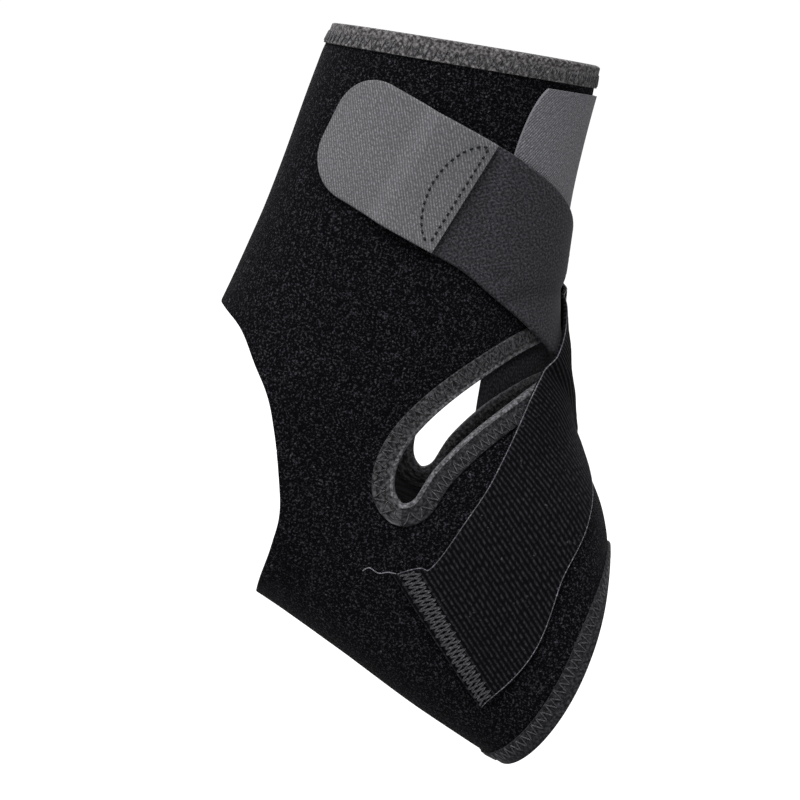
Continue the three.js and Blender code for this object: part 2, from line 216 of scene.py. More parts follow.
# %% The form
def form(u, v):
    """The point at u degrees round and station v. In the middle plane it is
    mid + (end - mid)|cos u|, where end is the front or the back, and its distance from
    that plane is half sin u. Fullness k turns cos into cos(1 + k sin^2) and sin into
    sin(1 + k cos^2). The sides also bow toward the toes by bow sin^2."""
    u, v = np.broadcast_arrays(np.asarray(u, float), np.asarray(v, float))
    r = along(FORM, v)
    cos, sin = np.cos(np.radians(u)), np.sin(np.radians(u))
    scale = np.array([LEG_DEPTH, TALL])
    front, back = r[..., 0:2] * scale, r[..., 2:4] * scale
    mid = front + (back - front) * r[..., 5:6]
    full = np.where(cos >= 0, r[..., 6], r[..., 7])
    far, side = cos * (1 + full * sin**2), sin * (1 + full * cos**2)
    end = np.where((cos >= 0)[..., None], front, back)
    bow = TOE_WAY * (r[..., 8] * LEG_DEPTH * sin**2)[..., None]
    flat = mid + (end - mid) * np.abs(far)[..., None] + bow
    return np.stack([flat[..., 0], -r[..., 4] * LEG_WIDTH * side, flat[..., 1]], -1)


def slopes(u, v):
    """The step for one degree of u and for one station of v, by small differences."""
    a, b = 0.05, 0.002
    du = (form(u + a, v) - form(u - a, v)) / (2 * a)
    dv = (form(u, v + b) - form(u, v - b)) / (2 * b)
    return du, dv


def outward(u, v):
    """The unit direction away from the foot: the cross product of the two slopes."""
    du, dv = slopes(u, v)
    return unit(np.cross(du, dv))


def off_form(u, v, height):
    """The point a height above the plain form at (u, v)."""
    return form(u, v) + outward(u, v) * np.asarray(height)[..., None]


# %% [markdown]
# Cloth on a foot is never quite smooth. Long shallow swells run round the leg, and
# drag lines leave the end of the instep opening and the sewn ends of the straps,
# where the cloth is pulled. They could be sculpted on the finished sleeve, but every
# layer above has to follow them, so they are part of the form. A row for each drag
# line gives its middle, its direction and its size.

# %% Soft swells and drag lines
CREASES = np.array([
    # u      v     turn   long  wide  high
    [97.0, 7.95, 62.0, 15.0, 2.6, -0.55],
    [104.0, 7.45, 20.0, 13.0, 2.4, -0.45],
    [98.0, 8.60, 80.0, 17.0, 2.8, 0.40],
    [118.0, 8.60, 50.0, 14.0, 3.0, -0.40],
    [84.0, 4.60, -12.0, 22.0, 3.6, -0.35],
    [100.0, 3.90, -4.0, 26.0, 4.2, 0.35],
    [112.0, 4.70, -20.0, 16.0, 3.0, -0.30],
    [130.0, 2.60, 4.0, 24.0, 4.0, -0.30],
    [62.0, 10.20, 78.0, 12.0, 2.8, -0.30],
    [-97.0, 7.95, -62.0, 15.0, 2.6, -0.55],
    [-104.0, 7.45, -20.0, 13.0, 2.4, -0.45],
    [-96.0, 8.70, -80.0, 17.0, 2.8, 0.40],
    [-110.0, 4.40, 10.0, 24.0, 3.8, -0.35],
    [-126.0, 3.10, 0.0, 26.0, 4.0, 0.30],
])
DEGREE_MM = 0.68                    # about how far one degree of u and one station
STATION_MM = 18.0                   # of v are on the ground
SWELL = 0.28


def relief(u, v):
    """How far the pulled cloth stands off the plain form. It is the sum of a slow
    wave round and along, and of one ridge or groove per row of CREASES:
    high exp(-(a/long)^2 - (b/wide)^2), with a and b the distances along the row's
    direction and across it."""
    turned = (np.asarray(u, float) + 180) % 360 - 180
    wave = SWELL * np.sin(np.radians(turned) * 4 + v * 0.9) * np.sin(v * 1.7 + 0.6)
    for cu, cv, turn, long, wide, high in CREASES:
        x, y = (turned - cu) * DEGREE_MM, (v - cv) * STATION_MM
        cos, sin = math.cos(math.radians(turn)), math.sin(math.radians(turn))
        wave = wave + high * np.exp(-((x * cos + y * sin) / long)**2
                                    - ((y * cos - x * sin) / wide)**2)
    return wave


def raised(u, v, height):
    """The point a height above the pulled cloth at (u, v)."""
    return off_form(u, v, height + relief(u, v))


def walk(u, v, aim, far, steps=12):
    """Where one gets to over the form from (u, v), going far mm along aim.
    Each short step is split into a du + b dv, and the heading is laid flat again."""
    u, v, far = np.broadcast_arrays(np.asarray(u, float), v, far)
    heading = np.broadcast_to(aim, u.shape + (3,))
    for _ in range(steps):
        du, dv = slopes(u, v)
        step = heading * (far / steps)[..., None]
        uu, uv, vv = dot(du, du), dot(du, dv), dot(dv, dv)
        a, b, det = dot(step, du), dot(step, dv), uu * vv - uv * uv
        u = u + (a * vv - b * uv) / det
        v = v + (b * uu - a * uv) / det
        out = outward(u, v)
        heading = unit(heading - out * dot(heading, out)[..., None])
    return u, v


print("form from", np.round(form(0.0, 0.0), 1), "to", np.round(form(0.0, LAST_ROW), 1))


# %% [markdown]
# ## Where the cloth ends
# The instep opening and the heel opening are cut out of the cloth, and on each side
# one panel joins the leg part to the foot part. The edges are lines on the form: a
# station for each number of degrees. At the front the wrap is open: the outer flap
# runs under, and the inner flap over it.


# %% Edges of the sleeve
def turned_off(u):
    """Degrees away from the front, 0 to 180, whatever the side."""
    return np.abs((np.asarray(u, float) + 180) % 360 - 180)


def seam(u, edge):
    """Station of the leg part's lower edge (0) or the foot part's upper edge (1).
    By an opening the table is read at the arc sine of the share of its length, so the
    end is round; between the openings both edges are one line."""
    t = turned_off(u)
    by_slot = np.arcsin(np.clip(t / SLOT_END, 0, 1)) / (np.pi / 2)
    by_heel = np.arcsin(np.clip((180 - t) / (180 - HEEL_END), 0, 1)) / (np.pi / 2)
    slot = along(SLOT, by_slot * (len(SLOT) - 1))[..., edge]
    heel = along(HEEL, by_heel * (len(HEEL) - 1))[..., edge]
    q = ease((t - SLOT_END) / (HEEL_END - SLOT_END))
    side = SLOT[-1, edge] * (1 - q) + HEEL[-1, edge] * q
    return np.select([t <= SLOT_END, t >= HEEL_END], [slot, heel], side)


def lift(u):
    """How far the inner flap stands off, for u counted on to 334 degrees."""
    return FLAP_LIFT * (1 - ease((360 + LIFT_FULL - u) / (LIFT_FULL - LIFT_NONE)))


def tucked(u):
    """1 where the outer flap is underneath, 0 on the rest of the wrap."""
    return ease((INNER_FLAP_END + TUCK - u) / TUCK)


def wrap_top(u):
    """Station of the wrap's upper edge."""
    return TUCK_TOP * tucked(u)


def wrap_foot(u):
    """Station of the wrap's lower edge."""
    return seam(u, 0) - TUCK_FOOT * tucked(u)


# %% [markdown]
# ## From arrays to a mesh
# A grid of points becomes quads by joining each point to its neighbours. A small
# helper puts the arrays into a mesh, turns a closed shape so that its faces point
# outwards, and lays a UV map in millimetres, so that a weave follows the cloth.


# %% Grids and meshes
def grid_faces(rows, columns, round_rows=False, round_columns=False):
    """Quads of a grid whose point (i, j) has number i * columns + j. Each quad joins
    (i, j), (i+1, j), (i+1, j+1) and (i, j+1); a round direction joins its end to its
    start."""
    i = np.arange(rows if round_rows else rows - 1)[:, None]
    j = np.arange(columns if round_columns else columns - 1)[None, :]
    right, down = (j + 1) % columns, (i + 1) % rows
    quads = [i * columns + j, down * columns + j, down * columns + right, i * columns + right]
    return np.stack(np.broadcast_arrays(*quads), -1).reshape(-1, 4)


def volume(points, quads):
    """Signed volume of a closed shape: a sixth of the sum of a . (b x c) over its
    triangles, two to a quad."""
    a, b, c, d = (points[quads[:, k]] for k in range(4))
    return (dot(a, np.cross(b, c)) + dot(a, np.cross(c, d))).sum() / 6


def add_piece(name, points, quads, finishes, lay=None, kinds=None, caps=(), sharp=50):
    """Makes an object of points in mm and quads. lay is the UV of each quad's corners,
    kinds the number of each quad's finish, and caps are whole end faces."""
    caps = [list(c) for c in caps]
    if volume(points, quads) < 0:
        quads = quads[:, ::-1]
        caps = [c[::-1] for c in caps]
        lay = None if lay is None else lay[:, ::-1]
    mesh = bpy.data.meshes.new(name)
    mesh.from_pydata((points * MM).tolist(), [], quads.tolist() + caps)
    if lay is not None:
        uv = mesh.uv_layers.new(name="lay")
        extra = np.zeros((sum(len(c) for c in caps), 2))
        flat = np.concatenate([lay.reshape(-1, 2), extra])
        uv.uv.foreach_set("vector", flat.ravel())
    for finish in finishes:
        mesh.materials.append(finish)
    if kinds is not None:
        mesh.polygons.foreach_set("material_index", np.append(kinds, [0] * len(caps)).astype(int))
    mesh.polygons.foreach_set("use_smooth", [True] * len(mesh.polygons))
    mesh.set_sharp_from_angle(angle=math.radians(sharp))
    piece = bpy.data.objects.new(name, mesh)
    bpy.context.scene.collection.objects.link(piece)
    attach(piece, "root")
    print(name, len(points), "points,", 2 * len(quads), "triangles")
    return piece


BLOCK = 4000                        # points worked out at a time, to save memory


def distances(points, spots):
    """Distances from each point to each spot, a block of points at a time."""
    for k in range(0, len(points), BLOCK):
        yield np.sqrt(((points[k:k + BLOCK, None] - spots[None])**2).sum(-1))


def nearest(points, spots):
    """Distance from each point to the nearest spot."""
    found = [far.min(1) for far in distances(points.reshape(-1, 3), spots)]
    return np.concatenate(found).reshape(points.shape[:-1])


# %% [markdown]
# ## Finishes
# The brace is all cloth: black loop pile on foam, knitted lining, ribbed and smooth
# elastic, hook tape, folded tape and thread. A picture of each cloth could be wrapped
# on, but a pattern made of nodes stays sharp at any distance. Effects that several
# cloths share are node groups, built once: loop pile, ribs, twill, plain weave and
# uneven fading. Each group takes a position in millimetres and gives a height for
# bump and a mask for colour.


# %% Small helpers for node trees
def join(tree, value, socket):
    """Links a socket to a socket, or sets a plain value on it."""
    if isinstance(value, bpy.types.NodeSocket):
        tree.links.new(value, socket)
    elif value is not None:
        socket.default_value = value


def calc(tree, operation, *values):
    """A Math node with these sockets or numbers as its inputs."""
    node = tree.nodes.new("ShaderNodeMath")
    node.operation = operation
    for value, socket in zip(values, node.inputs):
        join(tree, value, socket)
    return node.outputs[0]


def ramp(tree, value, low, high, to_low=0.0, to_high=1.0):
    """A smooth Map Range from low..high to to_low..to_high."""
    node = tree.nodes.new("ShaderNodeMapRange")
    node.interpolation_type = "SMOOTHSTEP"
    for socket, item in zip(node.inputs, [value, low, high, to_low, to_high]):
        join(tree, item, socket)
    return node.outputs[0]


def scaled(tree, vector, size):
    """The position divided by a size, so that 1 is one repeat of that size."""
    node = tree.nodes.new("ShaderNodeVectorMath")
    node.operation = "DIVIDE"
    join(tree, vector, node.inputs[0])
    join(tree, size, node.inputs[1])
    return node.outputs[0]


def noise(tree, vector, scale=1.0, detail=2.0, rough=0.5):
    """A Noise texture's value."""
    node = tree.nodes.new("ShaderNodeTexNoise")
    join(tree, vector, node.inputs["Vector"])
    join(tree, scale, node.inputs["Scale"])
    node.inputs["Detail"].default_value = detail
    node.inputs["Roughness"].default_value = rough
    return node.outputs["Fac"]


def blend_colours(tree, share, one, two):
    """A colour mix of one and two."""
    node = tree.nodes.new("ShaderNodeMix")
    node.data_type = "RGBA"
    join(tree, share, node.inputs[0])
    join(tree, one, node.inputs[6])
    join(tree, two, node.inputs[7])
    return node.outputs[2]


def new_group(name, takes, gives):
    """An empty shader node group. takes is (name, socket kind, start value)."""
    group = bpy.data.node_groups.new(name, "ShaderNodeTree")
    for title, kind, value in takes:
        socket = group.interface.new_socket(title, in_out="INPUT", socket_type=kind)
        if value is not None:
            socket.default_value = value
    for title, kind in gives:
        group.interface.new_socket(title, in_out="OUTPUT", socket_type=kind)
    start, end = group.nodes.new("NodeGroupInput"), group.nodes.new("NodeGroupOutput")
    return group, start.outputs, end.inputs


NUMBER = "NodeSocketFloat"
PLACE = "NodeSocketVector"
COLOUR = "NodeSocketColor"


# %% [markdown]
# Loop pile is a felt of tiny curls. Cells of a Voronoi texture, one per curl, give
# the bump, and a stretched noise lets single curls catch the light.


# %% Group: loop pile
def make_pile_group():
    """Height is 1 minus the distance to the middle of a cell, with fine noise added.
    Light is a noise of about a curl's size, cut so that only its peaks show."""
    group, takes, gives = new_group(
        "loop_pile",
        [("Place", PLACE, None), ("Curl", NUMBER, 0.0009), ("Bright Share", NUMBER, 0.5)],
        [("Height", NUMBER), ("Light", NUMBER)])
    spot = scaled(group, takes["Place"], takes["Curl"])
    cells = group.nodes.new("ShaderNodeTexVoronoi")
    cells.feature = "F1"
    cells.inputs["Randomness"].default_value = 1.0
    join(group, 1.0, cells.inputs["Scale"])
    join(group, spot, cells.inputs["Vector"])
    curl = calc(group, "SUBTRACT", 1.0, cells.outputs["Distance"])
    fine = noise(group, spot, 1.9, 2.0, 0.6)
    height = calc(group, "ADD", curl, calc(group, "MULTIPLY", fine, 0.8))
    join(group, height, gives["Height"])
    speck = noise(group, spot, 0.85, 2.0, 0.65)
    edge = calc(group, "SUBTRACT", 0.75, calc(group, "MULTIPLY", takes["Bright Share"], 0.3))
    light = ramp(group, speck, calc(group, "SUBTRACT", edge, 0.13), calc(group, "ADD", edge, 0.1))
    join(group, light, gives["Light"])
    return group


pile_group = make_pile_group()


# %% [markdown]
# Ribbed elastic has a cord across it every few threads. A sine wave along the strap
# gives the ribs, and a noise stretched along each rib breaks it into stitches.


# %% Group: ribs
def make_rib_group():
    """Height is half of 1 + cos(2 pi x / pitch), with x along the strap. Light is the
    square of that wave, which makes the lines thin, times a noise between 0.1 and 1
    that changes slowly along each rib."""
    group, takes, gives = new_group(
        "ribs", [("Lay", PLACE, None), ("Pitch", NUMBER, 1.6), ("Stitch", NUMBER, 0.9)],
        [("Height", NUMBER), ("Light", NUMBER)])
    part = group.nodes.new("ShaderNodeSeparateXYZ")
    join(group, takes["Lay"], part.inputs[0])
    turn = calc(group, "DIVIDE", part.outputs["X"], takes["Pitch"])
    wave = calc(group, "COSINE", calc(group, "MULTIPLY", turn, 2 * math.pi))
    rib = calc(group, "ADD", 0.5, calc(group, "MULTIPLY", wave, 0.5))
    spread = group.nodes.new("ShaderNodeCombineXYZ")
    join(group, turn, spread.inputs["X"])
    join(group, calc(group, "DIVIDE", part.outputs["Y"], takes["Stitch"]), spread.inputs["Y"])
    stitch = noise(group, spread.outputs[0], 1.0, 2.0, 0.6)
    join(group, calc(group, "ADD", rib, calc(group, "MULTIPLY", stitch, 0.6)), gives["Height"])
    thin = calc(group, "MULTIPLY", rib, rib)
    broken = ramp(group, stitch, 0.38, 0.64, 0.1, 1.0)
    join(group, calc(group, "MULTIPLY", thin, broken), gives["Light"])
    return group


rib_group = make_rib_group()


# %% [markdown]
# Hook tape shows fine slanting rows of hooks. Rows at two angles, one weaker, and a
# noise that bends them give the rippled twill look.


# %% Group: twill
def make_twill_group():
    """Height is half of 1 + sin(2 pi (x + slant y) / pitch + wobble), where wobble is a
    noise of a few rows' size. Light is the height times a fine noise."""
    group, takes, gives = new_group(
        "twill", [("Lay", PLACE, None), ("Pitch", NUMBER, 1.0), ("Slant", NUMBER, 0.8),
                  ("Wobble", NUMBER, 2.0)],
        [("Height", NUMBER), ("Light", NUMBER)])
    part = group.nodes.new("ShaderNodeSeparateXYZ")
    join(group, takes["Lay"], part.inputs[0])
    lean = calc(group, "MULTIPLY", part.outputs["Y"], takes["Slant"])
    turn = calc(group, "DIVIDE", calc(group, "ADD", part.outputs["X"], lean), takes["Pitch"])
    bend = noise(group, takes["Lay"], 0.55, 2.0, 0.6)
    phase = calc(group, "ADD", calc(group, "MULTIPLY", turn, 2 * math.pi),
                 calc(group, "MULTIPLY", bend, calc(group, "MULTIPLY", takes["Wobble"], 4.0)))
    rows = calc(group, "ADD", 0.5, calc(group, "MULTIPLY", calc(group, "SINE", phase), 0.5))
    grain = noise(group, takes["Lay"], 1.35, 2.0, 0.65)
    join(group, calc(group, "ADD", rows, calc(group, "MULTIPLY", grain, 0.7)), gives["Height"])
    join(group, calc(group, "MULTIPLY", rows, ramp(group, grain, 0.35, 0.7)), gives["Light"])
    return group


twill_group = make_twill_group()


# %% [markdown]
# Folded tape and smooth elastic are plain weave: threads over and under each other.


# %% Group: plain weave
def make_weave_group():
    """With p = sin(pi x / thread) and q = sin(pi y / thread), height is half of
    1 + p q, which is a board of threads up and down. Light is the height times a
    noise, so that the cloth looks mottled."""
    group, takes, gives = new_group(
        "plain_weave", [("Lay", PLACE, None), ("Thread", NUMBER, 0.8), ("Mottle", NUMBER, 1.4)],
        [("Height", NUMBER), ("Light", NUMBER)])
    part = group.nodes.new("ShaderNodeSeparateXYZ")
    join(group, scaled(group, takes["Lay"], takes["Thread"]), part.inputs[0])
    waves = [calc(group, "SINE", calc(group, "MULTIPLY", part.outputs[k], math.pi)) for k in "XY"]
    board = calc(group, "MULTIPLY", waves[0], waves[1])
    height = calc(group, "ADD", 0.5, calc(group, "MULTIPLY", board, 0.5))
    join(group, height, gives["Height"])
    mottle = noise(group, scaled(group, takes["Lay"], takes["Mottle"]), 1.0, 3.0, 0.6)
    spot = ramp(group, mottle, 0.38, 0.66)
    half = calc(group, "ADD", 0.5, calc(group, "MULTIPLY", height, 0.5))
    join(group, calc(group, "MULTIPLY", spot, half), gives["Light"])
    return group


weave_group = make_weave_group()


# %% [markdown]
# Worn cloth is not one even tone. It fades in broad patches and holds a little lint.


# %% Group: fade and lint
def make_fade_group():
    """Colour is the cloth's colour times a slow noise between 1 - fade and 1 + fade,
    mixed with a pale lint colour where a fine sharp noise peaks."""
    group, takes, gives = new_group(
        "fade_and_lint",
        [("Place", PLACE, None), ("Colour", COLOUR, (0.1, 0.1, 0.1, 1)), ("Fade", NUMBER, 0.2),
         ("Lint", NUMBER, 0.3)],
        [("Colour", COLOUR)])
    slow = noise(group, takes["Place"], 22.0, 3.0, 0.55)
    swing = calc(group, "MULTIPLY", calc(group, "SUBTRACT", slow, 0.5), takes["Fade"])
    tone = calc(group, "ADD", 1.0, calc(group, "MULTIPLY", swing, 4.0))
    shade = group.nodes.new("ShaderNodeVectorMath")
    shade.operation = "SCALE"
    join(group, takes["Colour"], shade.inputs[0])
    join(group, tone, shade.inputs["Scale"])
    speck = ramp(group, noise(group, takes["Place"], 700.0, 1.0, 0.5), 0.73, 0.80)
    share = calc(group, "MULTIPLY", speck, takes["Lint"])
    lint = (0.09, 0.09, 0.1, 1.0)
    join(group, blend_colours(group, share, shade.outputs[0], lint), gives["Colour"])
    return group


fade_group = make_fade_group()


# %% [markdown]
# Each finish places its groups, mixes a dark and a light colour by the mask, lets
# the fade group vary it, and sends the height to a Bump node. Sheen is set on the
# shader itself: it is the soft light that fibres catch at a slant.


# %% One recipe for all the cloths
def srgb(*levels):
    """A linear colour from 0..255 display levels: ((c + 0.055) / 1.055)^2.4."""
    c = np.array(levels) / 255
    low, high = c / 12.92, ((c + 0.055) / 1.055)**2.4
    return tuple(np.where(c <= 0.04045, low, high)) + (1.0,)


def make_cloth(name, group, settings, dark, light, roughness, bump, deep, sheen,
               fade=0.2, lint=0.2, gloss=0.15, place="UV"):
    """A Principled material whose weave comes from one group. place says whether the
    group reads the piece's own UV map, in mm, or Object coordinates, in metres."""
    material = bpy.data.materials.new(name)
    material.use_nodes = True
    tree = material.node_tree
    shader = tree.nodes["Principled BSDF"]
    coordinates = tree.nodes.new("ShaderNodeTexCoord")
    weave = tree.nodes.new("ShaderNodeGroup")
    weave.node_tree = group
    join(tree, coordinates.outputs[place], weave.inputs[0])
    for key, value in settings.items():
        weave.inputs[key].default_value = value
    colour = blend_colours(tree, weave.outputs["Light"], dark, light)
    uneven = tree.nodes.new("ShaderNodeGroup")
    uneven.node_tree = fade_group
    join(tree, coordinates.outputs["Object"], uneven.inputs["Place"])
    join(tree, colour, uneven.inputs["Colour"])
    uneven.inputs["Fade"].default_value = fade
    uneven.inputs["Lint"].default_value = lint
    join(tree, uneven.outputs["Colour"], shader.inputs["Base Color"])
    rough = ramp(tree, weave.outputs["Height"], 0.0, 1.5, roughness + 0.06, roughness - 0.06)
    join(tree, rough, shader.inputs["Roughness"])
    bumps = tree.nodes.new("ShaderNodeBump")
    bumps.inputs["Strength"].default_value = bump
    bumps.inputs["Distance"].default_value = deep * MM
    join(tree, weave.outputs["Height"], bumps.inputs["Height"])
    join(tree, bumps.outputs["Normal"], shader.inputs["Normal"])
    shader.inputs["Specular IOR Level"].default_value = gloss
    shader.inputs["Sheen Weight"].default_value = sheen
    shader.inputs["Sheen Roughness"].default_value = 0.45
    shader.inputs["Sheen Tint"].default_value = (0.8, 0.8, 0.86, 1.0)
    return material


# %% The cloths
# After the two colours come roughness, bump strength, bump depth in mm, sheen, fade,
# lint and gloss.
pile = make_cloth(
    "loop_pile_cloth", pile_group, {"Curl": 0.6 * MM, "Bright Share": 0.42},
    srgb(2, 2, 3), srgb(36, 36, 40), 0.95, 0.8, 0.35, 0.006, 0.05, 0.3, 0.02, "Object")
lining = make_cloth(
    "knit_lining", weave_group, {"Thread": 0.9, "Mottle": 2.5},
    srgb(17, 17, 19), srgb(34, 34, 37), 0.85, 0.5, 0.25, 0.04, 0.12, 0.2, 0.1)
foam = make_cloth(
    "foam_edge", pile_group, {"Curl": 0.5 * MM, "Bright Share": 0.3},
    srgb(18, 13, 11), srgb(33, 25, 22), 0.9, 0.6, 0.25, 0.0, 0.15, 0.1, 0.08, "Object")
ribbed = make_cloth(
    "ribbed_elastic", rib_group, {"Pitch": 1.6, "Stitch": 1.3},
    srgb(2, 2, 3), srgb(28, 28, 31), 0.95, 0.6, 0.2, 0.006, 0.05, 0.2, 0.03)
smooth_elastic = make_cloth(
    "smooth_elastic", weave_group, {"Thread": 0.85, "Mottle": 0.75},
    srgb(15, 15, 17), srgb(48, 48, 52), 0.9, 0.4, 0.15, 0.03, 0.05, 0.1, 0.08)
hook_tape = make_cloth(
    "hook_tape", twill_group, {"Pitch": 1.05, "Slant": 0.75, "Wobble": 0.8},
    srgb(54, 54, 56), srgb(94, 94, 97), 0.85, 0.6, 0.2, 0.03, 0.04, 0.06, 0.1)
closure_tape = make_cloth(
    "closure_tape", twill_group, {"Pitch": 0.95, "Slant": -0.8, "Wobble": 1.1},
    srgb(60, 60, 63), srgb(98, 98, 102), 0.85, 0.6, 0.2, 0.03, 0.04, 0.08, 0.1)
top_tape = make_cloth(
    "top_tape", weave_group, {"Thread": 0.8, "Mottle": 1.2},
    srgb(26, 25, 26), srgb(88, 86, 87), 0.9, 0.6, 0.2, 0.02, 0.05, 0.15, 0.1)
edge_tape = make_cloth(
    "edge_tape", weave_group, {"Thread": 0.8, "Mottle": 1.2},
    srgb(12, 12, 13), srgb(60, 59, 61), 0.9, 0.6, 0.2, 0.02, 0.05, 0.2, 0.08)
# paler tape for the rolled edge: a painted highlight on the fold
rolled_tape_painted_highlight = make_cloth(
    "rolled_tape_painted_highlight", weave_group, {"Thread": 0.8, "Mottle": 1.2},
    srgb(34, 33, 35), srgb(84, 83, 86), 0.85, 0.6, 0.2, 0.03, 0.05, 0.2, 0.12)
# the forefoot tape's own dark colour, also used as painted shade on the lower side of the instep
# opening
dark_tape_and_painted_shade = make_cloth(
    "dark_tape_and_painted_shade", weave_group, {"Thread": 0.8, "Mottle": 1.2},
    srgb(7, 7, 8), srgb(38, 38, 41), 0.9, 0.6, 0.2, 0.02, 0.05, 0.2, 0.08)
charcoal_thread = make_cloth(
    "charcoal_thread", pile_group, {"Curl": 0.4 * MM, "Bright Share": 0.6},
    srgb(20, 20, 22), srgb(50, 50, 54), 0.6, 0.5, 0.1, 0.0, 0.1, 0.1, 0.25, "Object")
black_thread = make_cloth(
    "black_thread", pile_group, {"Curl": 0.4 * MM, "Bright Share": 0.3},
    srgb(5, 5, 6), srgb(18, 18, 20), 0.7, 0.5, 0.1, 0.0, 0.1, 0.1, 0.12, "Object")
# paler than the strap: a painted highlight along the strap's edge
selvedge_thread_painted_highlight = make_cloth(
    "selvedge_thread_painted_highlight", pile_group, {"Curl": 0.5 * MM, "Bright Share": 0.5},
    srgb(40, 40, 44), srgb(88, 88, 94), 0.65, 0.5, 0.1, 0.0, 0.1, 0.1, 0.2, "Object")
pale_thread = make_cloth(
    "pale_thread", pile_group, {"Curl": 0.4 * MM, "Bright Share": 0.6},
    srgb(60, 60, 64), srgb(104, 104, 110), 0.65, 0.5, 0.1, 0.0, 0.1, 0.1, 0.25, "Object")
print(len(bpy.data.materials), "finishes")

# %% [markdown]
# ## The sleeve
# The real sleeve is cut from flat foam cloth 3 mm thick: a black pile outside, a
# knitted lining inside and foam between. It could be one sheet with a Solidify
# modifier, but at a bound edge the tape squeezes the foam, and at a raw edge the cut
# corners are worn round. So both faces are worked out: the wall is a function of the
# distance to the nearest edge. The leg part is a grid from the outer flap's end round
# to the inner flap's, and the foot part is a closed ring. The columns crowd together
# at the ends of the openings, where the edge turns fast.

# %% Columns of the grid
SLOT_COLUMNS = 56
SIDE_COLUMNS = 12
HEEL_COLUMNS = 34
quarter = np.radians(90)
by_slot = SLOT_END * np.sin(quarter * np.arange(SLOT_COLUMNS + 1) / SLOT_COLUMNS)
between = np.linspace(SLOT_END, HEEL_END, SIDE_COLUMNS + 1)[1:-1]
by_heel = 180 - (180 - HEEL_END) * np.sin(quarter * np.arange(HEEL_COLUMNS, -1, -1) / HEEL_COLUMNS)
half_turn = np.concatenate([by_slot, between, by_heel])
whole_turn = np.concatenate([half_turn, 360 - half_turn[-2::-1]])
flap_columns = np.concatenate([np.arange(OUTER_FLAP_END, INNER_FLAP_END, 2.0),
                               np.linspace(INNER_FLAP_END, 0.0, 22)[:-1]])
wrap_turn = np.concatenate([flap_columns, whole_turn[whole_turn < 360 + INNER_FLAP_END - 0.5],
                            [360 + INNER_FLAP_END - 0.4, 360 + INNER_FLAP_END]])
EDGE_ROWS = np.array([0.0, 0.0015, 0.0035, 0.007])
WRAP_MARGIN = 0.014                 # share of a column before its even rows start
WRAP_ROWS = 84
RING_MARGIN = 0.03
RING_ROWS = 50
even_rows = np.linspace(WRAP_MARGIN, 1 - WRAP_MARGIN, WRAP_ROWS)
row_share = np.concatenate([EDGE_ROWS, even_rows, 1 - EDGE_ROWS[::-1]])
print(len(wrap_turn), "columns,", len(row_share), "rows")

# %% Edges as rows of points
around_top = np.linspace(INNER_FLAP_END + TAPE_START, 360 + INNER_FLAP_END, 260)
around_slot = np.concatenate([by_slot, -by_slot])
heel_turn = np.concatenate([by_heel, 360 - by_heel])
bound_edges = np.concatenate([
    off_form(around_top, 0 * around_top, np.where(around_top > 180, lift(around_top), 0)),
    off_form(around_slot, seam(around_slot, 0), 0 * around_slot),
    off_form(around_slot, seam(around_slot, 1), 0 * around_slot),
    off_form(whole_turn, LAST_ROW + 0 * whole_turn, 0 * whole_turn),
])
flap_rows = np.linspace(0, 1, 120)
raw_edges = np.concatenate([
    off_form(heel_turn, seam(heel_turn, 0), 0 * heel_turn),
    off_form(heel_turn, seam(heel_turn, 1), 0 * heel_turn),
    off_form(360 + INNER_FLAP_END + 0 * flap_rows,
             seam(INNER_FLAP_END, 0) * flap_rows, FLAP_LIFT + 0 * flap_rows),
])
PINCH_DEEP = 10.0                   # how far in from a bound edge the foam recovers
PINCH_DROP = 0.75                   # the outer face sinks this far at a bound edge
PINCH_SHARE = 0.33                  # and the wall loses this share of its thickness
EDGE_ROUND = 0.9                    # radius of a worn raw edge
ROUND_SHARE = 0.6                   # each face takes this share of the turn


def faces_of_wall(u, v, height):
    """Outer and inner face at (u, v). At a bound edge the outer face sinks by
    PINCH_DROP and the wall thins by PINCH_SHARE, easing out over PINCH_DEEP. At a raw
    edge both faces turn in by a share of r - sqrt(r^2 - (r - d)^2), a quarter circle,
    with d the distance."""
    base = off_form(u, v, height)
    squeeze = 1 - ease(nearest(base, bound_edges) / PINCH_DEEP)
    d = np.minimum(nearest(base, raw_edges), EDGE_ROUND)
    turn_in = EDGE_ROUND - np.sqrt(EDGE_ROUND**2 - (EDGE_ROUND - d)**2)
    top = height - PINCH_DROP * squeeze - ROUND_SHARE * turn_in
    wall = SLEEVE_WALL * (1 - PINCH_SHARE * squeeze)
    bottom = height - wall + ROUND_SHARE * turn_in
    return raised(u, v, top), raised(u, v, bottom)


def lay_of(u, points):
    """UV in mm: across is the degrees times DEGREE_MM, along is the length down each
    column from the first row."""
    steps = np.linalg.norm(np.diff(points, axis=1), axis=-1)
    down = np.concatenate([np.zeros((len(points), 1)), np.cumsum(steps, 1)], 1)
    return np.stack([u * DEGREE_MM, down], -1)


# %% Leg part and foot part
wrap_u = np.repeat(wrap_turn[:, None], len(row_share), 1)
top_line, foot_line = wrap_top(wrap_turn), wrap_foot(wrap_turn)
wrap_v = top_line[:, None] + (foot_line - top_line)[:, None] * row_share[None]
wrap_high = np.where(wrap_u > 180, lift(wrap_u), 0.0)
wrap_outer, wrap_inner = faces_of_wall(wrap_u, wrap_v, wrap_high)

even_rows = np.linspace(RING_MARGIN, 1 - RING_MARGIN, RING_ROWS)
ring_share = np.concatenate([EDGE_ROWS * 2, even_rows, 1 - EDGE_ROWS[::-1] * 2])
ring_u = np.repeat(whole_turn[:, None], len(ring_share), 1)
ring_start = seam(whole_turn, 1)
ring_v = ring_start[:, None] + (LAST_ROW - ring_start)[:, None] * ring_share[None]
ring_outer, ring_inner = faces_of_wall(ring_u, ring_v, 0.0 * ring_u)

